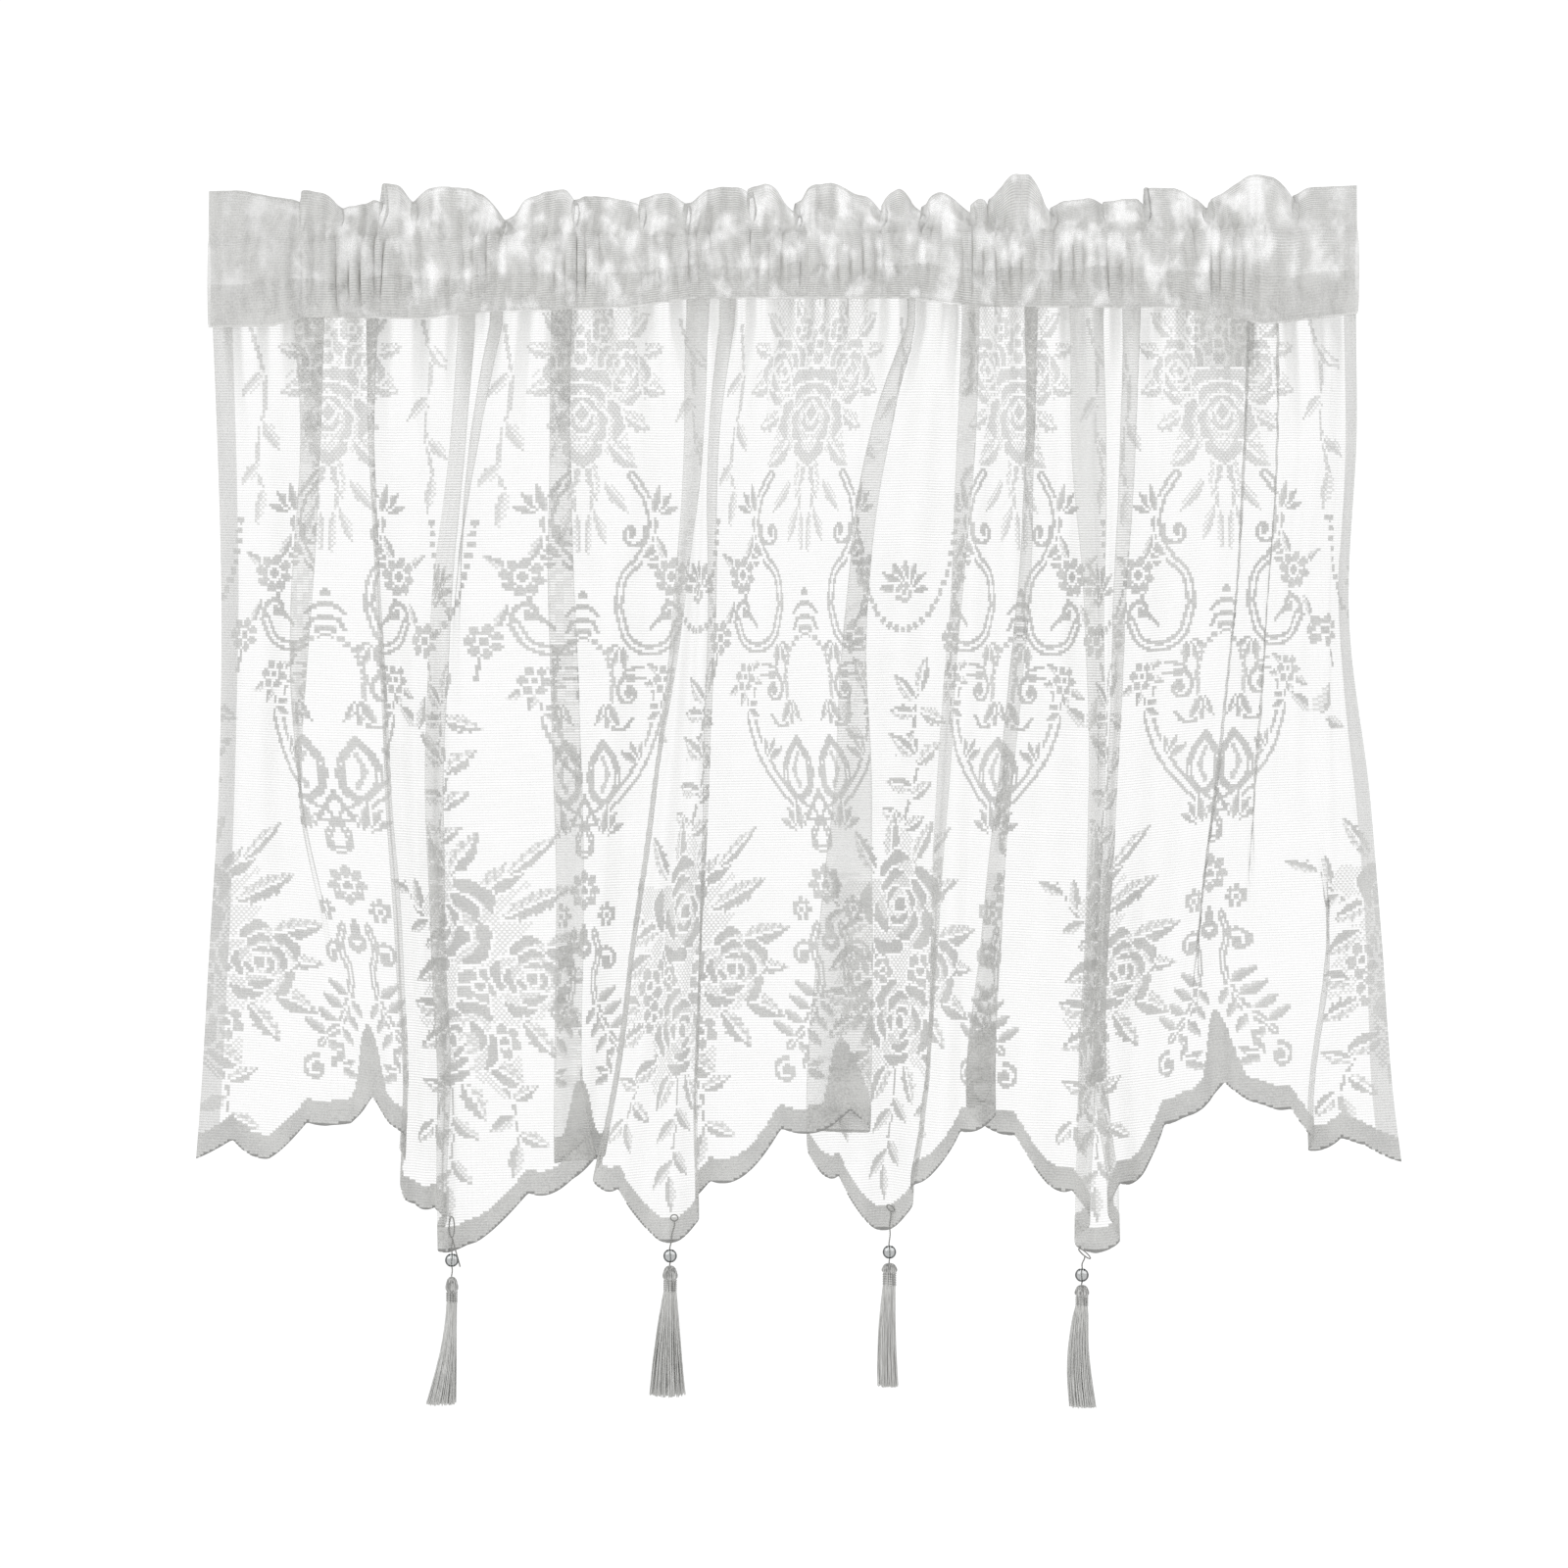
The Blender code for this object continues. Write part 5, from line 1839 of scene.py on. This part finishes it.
def bend_lines(name: str, routes: list, radius: float, sides: int) -> Piece:
    """Make round threads along routes.

    Args:
        name: Name of the piece.
        routes: One list of points, in millimetres, for each thread.
        radius: Radius of a thread, in millimetres.
        sides: Bevel resolution: 0 gives four sides, 1 six, 2 eight.

    Returns:
        The threads as one mesh.
    """
    curve = bpy.data.curves.new(name, "CURVE")
    curve.dimensions = "3D"
    curve.bevel_depth = radius * MM
    curve.bevel_resolution = sides
    curve.use_fill_caps = True
    for route in routes:
        line = curve.splines.new("POLY")
        line.points.add(len(route) - 1)
        for point, place in zip(line.points, route):
            point.co = (*(float(v) * MM for v in place), 1.0)
    made = bpy.data.objects.new(name, curve)
    bpy.context.collection.objects.link(made)
    return to_mesh(made)


@dataclass(frozen=True)
class TasselSize:
    """One tassel's own measures, as in the solids."""

    number: int
    point: float
    x: float
    bead: float
    knob_top: float
    neck_top: float
    neck_foot: float
    ends: float
    foot_x: float
    foot_half: float
    curl: float
    stout: float
    flare: float


TASSELS = (
    # number, point, x, bead, knob top, neck top, neck foot, strand ends, foot x, foot half width, curl,
    # how stout the head is, and the power of the strands' spread down their length
    TasselSize(1, -354.0, -188.5, -566.8, -576.3, -584.7, -590.8, -648.3, -194.5, 8.6, 1.1, 1.05, 1.6),
    TasselSize(2, -118.0, -64.1, -563.8, -569.4, -577.4, -584.1, -642.6, -65.9, 10.8, -0.4, 1.25, 0.9),
    TasselSize(3, 118.0, 61.2, -564.8, -571.2, -576.7, -584.2, -641.6, 60.3, 6.2, -1.0, 1.3, 0.8),
    TasselSize(4, 354.0, 170.2, -575.3, -581.0, -587.2, -593.1, -649.9, 170.7, 7.8, -2.2, 1.2, 0.6),
)

KNOB_PROFILE = (
    # radius, share of the way down the knob, share of the way down the neck
    (0.9, 0, 0), (1.7, 0.05, 0), (2.5, 0.18, 0), (3.1, 0.4, 0), (3.5, 0.64, 0), (3.45, 0.82, 0),
    (2.7, 1, 0), (2.6, 1, 0.5), (2.7, 1, 1),
)


@dataclass
class Tassel:
    """A silk tassel: the knob, the wound neck and the loose strands."""

    size: TasselSize
    depth: float
    strands: int = 170
    strand_radius: float = 0.36
    strand_steps: int = 9
    strand_tuck: float = 1.2
    knob_sides: int = 28
    knob_pleats: int = 14
    pleat_deep: float = 0.045
    neck_radius: float = 2.55
    wind_radius: float = 0.72
    wind_steps: int = 18
    wind_inset: float = 0.3
    wind_short: float = 0.8
    root_radius: float = 2.6
    end_stray: float = 0.7
    strand_stray: float = 0.5
    sway: float = 0.3
    sway_turns: float = 5.0
    golden: float = math.radians(137.508)
    seed: int = 40

    def build(self, finish: Material, wound: Material) -> list[Piece]:
        """Build the tassel's pieces.

        Args:
            finish: The strands' material.
            wound: The head's material, the silk painted darker as shade.

        Returns:
            The knob, the winding and the strands.
        """
        node = f"tassel_{self.size.number}"
        pieces = ((self.knob(), wound), (self.windings(), wound), (self.fall(), finish))
        return [fit(piece, dressed, "silk", node) for piece, dressed in pieces]

    def knob(self) -> Piece:
        """Draw the gathered knob and the core of the neck out of a circle, ring by ring.

        Returns:
            The knob.
        """
        s = self.size
        knob, neck = s.knob_top - s.neck_top, s.neck_top - s.neck_foot
        profile = [(s.stout * wide, -(a * knob + b * neck)) for wide, a, b in KNOB_PROFILE]
        nothing_selected()
        bpy.ops.mesh.primitive_circle_add(
            vertices=self.knob_sides, radius=profile[0][0] * MM, fill_type="NGON",
            location=(0.0, 0.0, s.knob_top * MM),
        )
        made = bpy.context.active_object
        made.name = f"tassel_{s.number}_knob"
        bpy.ops.object.mode_set(mode="EDIT")
        bpy.ops.mesh.select_all(action="SELECT")
        for (was, high), (now, low) in zip(profile, profile[1:]):
            bpy.ops.mesh.extrude_region_move(TRANSFORM_OT_translate={"value": (0.0, 0.0, (low - high) * MM)})
            bpy.ops.transform.resize(value=(now / was, now / was, 1.0))
        bpy.ops.mesh.select_all(action="SELECT")
        bpy.ops.mesh.normals_make_consistent(inside=False)
        bpy.ops.object.mode_set(mode="OBJECT")
        place = Vector((s.x * MM, self.depth * MM, s.knob_top * MM))
        for vertex in made.data.vertices:
            angle = math.atan2(vertex.co.y, vertex.co.x)
            pleat = 1.0 + self.pleat_deep * math.sin(self.knob_pleats * angle)
            vertex.co.x *= pleat
            vertex.co.y *= pleat
            vertex.co += place
        made.location = (0.0, 0.0, 0.0)
        made.data.shade_smooth()
        return made

    def windings(self) -> Piece:
        """Wind thread about the neck.

        Returns:
            The winding.
        """
        s = self.size
        tall = s.neck_top - s.neck_foot
        turns = round(tall / (2.0 * self.wind_radius))
        radius = self.neck_radius * s.stout
        steps = turns * self.wind_steps
        route = []
        for k in range(steps + 1):
            angle = TURN * k / self.wind_steps
            z = s.neck_top - self.wind_inset - (tall - self.wind_short) * k / steps
            route.append((s.x + radius * math.cos(angle), self.depth + radius * math.sin(angle), z))
        return bend_lines(f"tassel_{s.number}_winding", [route], self.wind_radius, 1)

    def fall(self) -> Piece:
        """Hang the loose strands, which leave the neck together and spread to their feet.

        Returns:
            The strands.
        """
        s = self.size
        chance = np.random.default_rng(self.seed + s.number)
        start = s.neck_foot + self.strand_tuck
        routes = []
        for number in range(self.strands):
            angle = number * self.golden
            share = math.sqrt((number + 0.5) / self.strands)
            root = self.root_radius * s.stout * share
            foot = (s.foot_half - self.strand_radius) * share
            end = s.ends + chance.uniform(-self.end_stray, self.end_stray)
            stray = chance.uniform(-self.strand_stray, self.strand_stray, 2)
            bend = chance.uniform(*PHASES)
            route = []
            for k in range(self.strand_steps + 1):
                t = k / self.strand_steps
                out = root + (foot - root) * t**s.flare
                middle = s.x + (s.foot_x - s.x) * t + s.curl * math.sin(math.pi * t)
                sway = self.sway * math.sin(self.sway_turns * t + bend) * t
                x = middle + out * math.cos(angle) + sway + stray[0] * t * t
                y = self.depth + out * math.sin(angle) + sway + stray[1] * t * t
                route.append((x, y, start + (end - start) * t))
            routes.append(route)
        return bend_lines(f"tassel_{s.number}_strands", routes, self.strand_radius, 0)


@dataclass
class Bead:
    """A clear bored bead."""

    size: TasselSize
    depth: float
    radius: float = 3.9
    hole: float = 0.9
    cut_over: float = 1.15
    bore_within: float = 1.8
    sharp_over: float = math.radians(60.0)
    sides: int = 40
    rings: int = 24

    def build(self, finish: Material, bore_finish: Material) -> Piece:
        """Cut the poles off a ball and join the two cuts by the bore.

        Args:
            finish: The ball's material.
            bore_finish: The bore's material.

        Returns:
            The bead.
        """
        s = self.size
        nothing_selected()
        size = {"segments": self.sides, "ring_count": self.rings, "radius": self.radius * MM}
        bpy.ops.mesh.primitive_uv_sphere_add(**size)
        made = bpy.context.active_object
        made.name = f"glass_bead_{s.number}"
        bpy.ops.object.mode_set(mode="EDIT")
        bpy.ops.mesh.select_all(action="DESELECT")
        bpy.ops.object.mode_set(mode="OBJECT")
        cut = math.sqrt(self.radius**2 - (self.cut_over * self.hole) ** 2) * MM
        for vertex in made.data.vertices:
            vertex.select = abs(vertex.co.z) > cut
        bpy.ops.object.mode_set(mode="EDIT")
        bpy.ops.mesh.delete(type="VERT")
        bpy.ops.mesh.select_mode(type="EDGE")
        bpy.ops.mesh.select_all(action="SELECT")
        bpy.ops.mesh.region_to_loop()
        bpy.ops.mesh.bridge_edge_loops()
        bpy.ops.mesh.select_all(action="SELECT")
        bpy.ops.mesh.normals_make_consistent(inside=False)
        bpy.ops.mesh.select_mode(type="VERT")
        bpy.ops.object.mode_set(mode="OBJECT")
        for vertex in made.data.vertices:
            vertex.co += Vector((s.x * MM, self.depth * MM, s.bead * MM))
        made.data.shade_smooth()
        made.data.set_sharp_from_angle(angle=self.sharp_over)
        fit(made, finish, "bead", f"bead_{s.number}")
        made.data.materials.append(bore_finish)
        axis = Vector((s.x * MM, self.depth * MM))
        for face in made.data.polygons:
            if (face.center.xy - axis).length < self.bore_within * self.hole * MM:
                face.material_index = 1
        return made


LOOPS = (
    # aside from the hem's point and over it, half width, half height, tilt, and length of the loose end
    (2.4, 14.5, 1.5, 6, 0, 16),
    (2.7, 14.5, 2.1, 1.8, 0, 0),
    (4.2, 13, 2.6, 1.3, -0.7, 0),
    (-6.6, 0, 4.3, 1, -0.7, 0),
)


@dataclass
class HangingThread:
    """The thread from its loop on the cloth, over the hem and through the bead to the knob."""

    size: TasselSize
    depth: float
    drape: Drape
    radius: float = 0.42
    clear: float = 2.6
    steps: int = 24
    waver: float = 0.25
    loose_steps: int = 7
    loose_lean: float = 0.65

    def build(self, finish: Material) -> Piece:
        """Build the thread, its loop and its loose end.

        Args:
            finish: Its material.

        Returns:
            The thread.
        """
        s = self.size
        hem = float(hem_height(np.array([s.point]))[0])
        hem_x = float(self.drape.hang(np.array([s.point]), np.array([hem]))[0, 0])
        aside, over, half_wide, half_tall, tilt, loose = LOOPS[s.number - 1]
        on_cloth = self.drape.hang(np.array([s.point + aside]), np.array([hem + max(over, 0.0)]))[0, 1]
        loop_y = min(self.depth, float(on_cloth) - self.clear)
        top = hem + over - half_tall
        end = s.knob_top + 0.2
        bead_top = s.bead + Bead.radius
        route = []
        for k in range(self.steps + 1):
            z = top + (end - top) * k / self.steps
            lean = float(smoothstep((z - bead_top) / (top - bead_top)))
            x = s.x + (hem_x + aside - s.x) * lean + self.waver * math.sin(0.7 * k)
            route.append((x, self.depth + (loop_y - self.depth) * lean, z))
        ring = []
        for k in range(self.steps + 1):
            angle = TURN * k / self.steps - 0.5 * math.pi
            a, b = half_wide * math.cos(angle), half_tall * math.sin(angle)
            x = hem_x + aside + a * math.cos(tilt) - b * math.sin(tilt)
            z = hem + over + a * math.sin(tilt) + b * math.cos(tilt)
            ring.append((x, loop_y - 0.3 * math.cos(0.5 * angle), z))
        lines = [route, ring]
        if loose:
            start = hem_x + aside + 0.3
            lines.append([
                (start + self.loose_lean * k, loop_y - 0.1 * k, top - 0.5 - loose * k / self.loose_steps)
                for k in range(self.loose_steps + 1)
            ])
        piece = bend_lines(f"hanging_thread_{s.number}", lines, self.radius, 1)
        return fit(piece, finish, "thread", f"thread_{s.number}")


@dataclass
class Studio:
    """Camera, light and floor."""

    distance: float = 2.489
    lens: float = 100.0
    sensor: float = 36.0
    middle: Place = (0.0006, -0.2957)
    floor_height: float = -1.5
    floor_half: float = 3.4
    sky_seen: float = 1.08
    sky_shed: float = 0.51

    def build(self) -> None:
        """Set up the photograph's view, soft light all round and a plain pale floor."""
        camera_data = bpy.data.cameras.new("camera")
        camera_data.lens = self.lens
        camera_data.sensor_width = self.sensor
        camera = bpy.data.objects.new("camera", camera_data)
        camera.location = (self.middle[0], -self.distance, self.middle[1])
        camera.rotation_euler = (math.pi / 2.0, 0.0, 0.0)
        bpy.context.collection.objects.link(camera)
        scene = bpy.context.scene
        scene.camera = camera
        scene.view_settings.view_transform = "Standard"
        self.sky()
        self.lamp("key", (-2.0, -1.5, 1.3), 0.9, 13.0)
        self.lamp("fill", (1.7, -1.6, -0.2), 1.6, 3.0)
        nothing_selected()
        bpy.ops.mesh.primitive_circle_add(vertices=64, radius=self.floor_half, fill_type="NGON")
        floor = bpy.context.active_object
        floor.name = "studio_floor"
        for vertex in floor.data.vertices:
            vertex.co.z = self.floor_height
        pale = Shader("pale_floor", (0.9, 0.9, 0.9), 0.9)
        speck = pale.node("ShaderNodeTexNoise", {"Scale": 3.0}).outputs["Fac"]
        pale.set("Base Color", pale.blend(speck, (0.88, 0.88, 0.88), (0.92, 0.92, 0.92)))
        pale.set("Emission Color", (1.0, 1.0, 1.0, 1.0))
        pale.set("Emission Strength", 0.35)
        floor.data.materials.append(pale.material)

    def sky(self) -> None:
        """A white surround, brighter to the eye than what it sheds on the cloth."""
        world = bpy.data.worlds.new("white_surround")
        world.use_nodes = True
        tree = world.node_tree
        tree.nodes.clear()
        seen, shed = [tree.nodes.new("ShaderNodeBackground") for _ in range(2)]
        for background, strength in ((seen, self.sky_seen), (shed, self.sky_shed)):
            background.inputs["Color"].default_value = (1.0, 1.0, 1.0, 1.0)
            background.inputs["Strength"].default_value = strength
        path = tree.nodes.new("ShaderNodeLightPath")
        pick = tree.nodes.new("ShaderNodeMixShader")
        out = tree.nodes.new("ShaderNodeOutputWorld")
        tree.links.new(path.outputs["Is Camera Ray"], pick.inputs[0])
        tree.links.new(shed.outputs[0], pick.inputs[1])
        tree.links.new(seen.outputs[0], pick.inputs[2])
        tree.links.new(pick.outputs[0], out.inputs["Surface"])
        bpy.context.scene.world = world

    def lamp(self, name: str, place: tuple[float, float, float], size: float, power: float) -> None:
        """Hang a soft square light that faces the middle of the valance.

        Args:
            name: Its name.
            place: Where it hangs.
            size: Its width, in metres.
            power: Its power, in watts.
        """
        data = bpy.data.lights.new(name, "AREA")
        data.size = size
        data.energy = power
        made = bpy.data.objects.new(name, data)
        made.location = place
        aim = Vector((0.0, 0.0, self.middle[1])) - made.location
        made.rotation_euler = aim.to_track_quat("-Z", "Y").to_euler()
        bpy.context.collection.objects.link(made)


def main() -> None:
    """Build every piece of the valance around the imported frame."""
    logging.basicConfig(level=logging.INFO)
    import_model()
    Studio().build()
    drape = Drape()
    chart = LaceChart()
    pale, shaded = (0.94, 0.94, 0.92), (0.80, 0.80, 0.785)
    net = LaceFinish("lace_net", bare=0.055, course_yarn=0.35, wale_yarn=0.06, light=pale, dark=shaded)
    worked = LaceFinish("worked_lace", bare=0.0, course_yarn=0.0, wale_yarn=0.0, closed=0.86)
    heading = LaceFinish(
        "heading_lace", bare=0.20, course_yarn=0.30, wale_yarn=0.06, mottle=0.75, hole=0.2, light=pale,
        dark=shaded,
    )
    silk = SilkFinish("tassel_silk").make()
    # The knob and winding take a darker copy of the silk: painted shade
    wound = SilkFinish("wound_silk_shaded", colour=(0.84, 0.84, 0.82), deep=(0.26, 0.26, 0.25)).make()
    cotton = ThreadFinish("sewing_thread").make()
    glass = GlassFinish("clear_glass").make()
    # The bore takes a fainter painted shade towards its rim
    bore = GlassFinish("bored_glass", rim=(0.85, 0.87, 0.87)).make()
    tape = TapeFinish("tape_cloth").make()
    Skirt(drape, chart).build(net.make(), worked.make())
    Heading(chart).build(heading.make())
    Flap().build(tape)
    for size in TASSELS:
        low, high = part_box(f"bead_{size.number}")
        depth = (low[1] + high[1]) / 2.0 / MM
        Tassel(size, depth).build(silk, wound)
        Bead(size, depth).build(glass, bore)
        HangingThread(size, depth, drape).build(cotton)


if __name__ == "__main__":
    main()
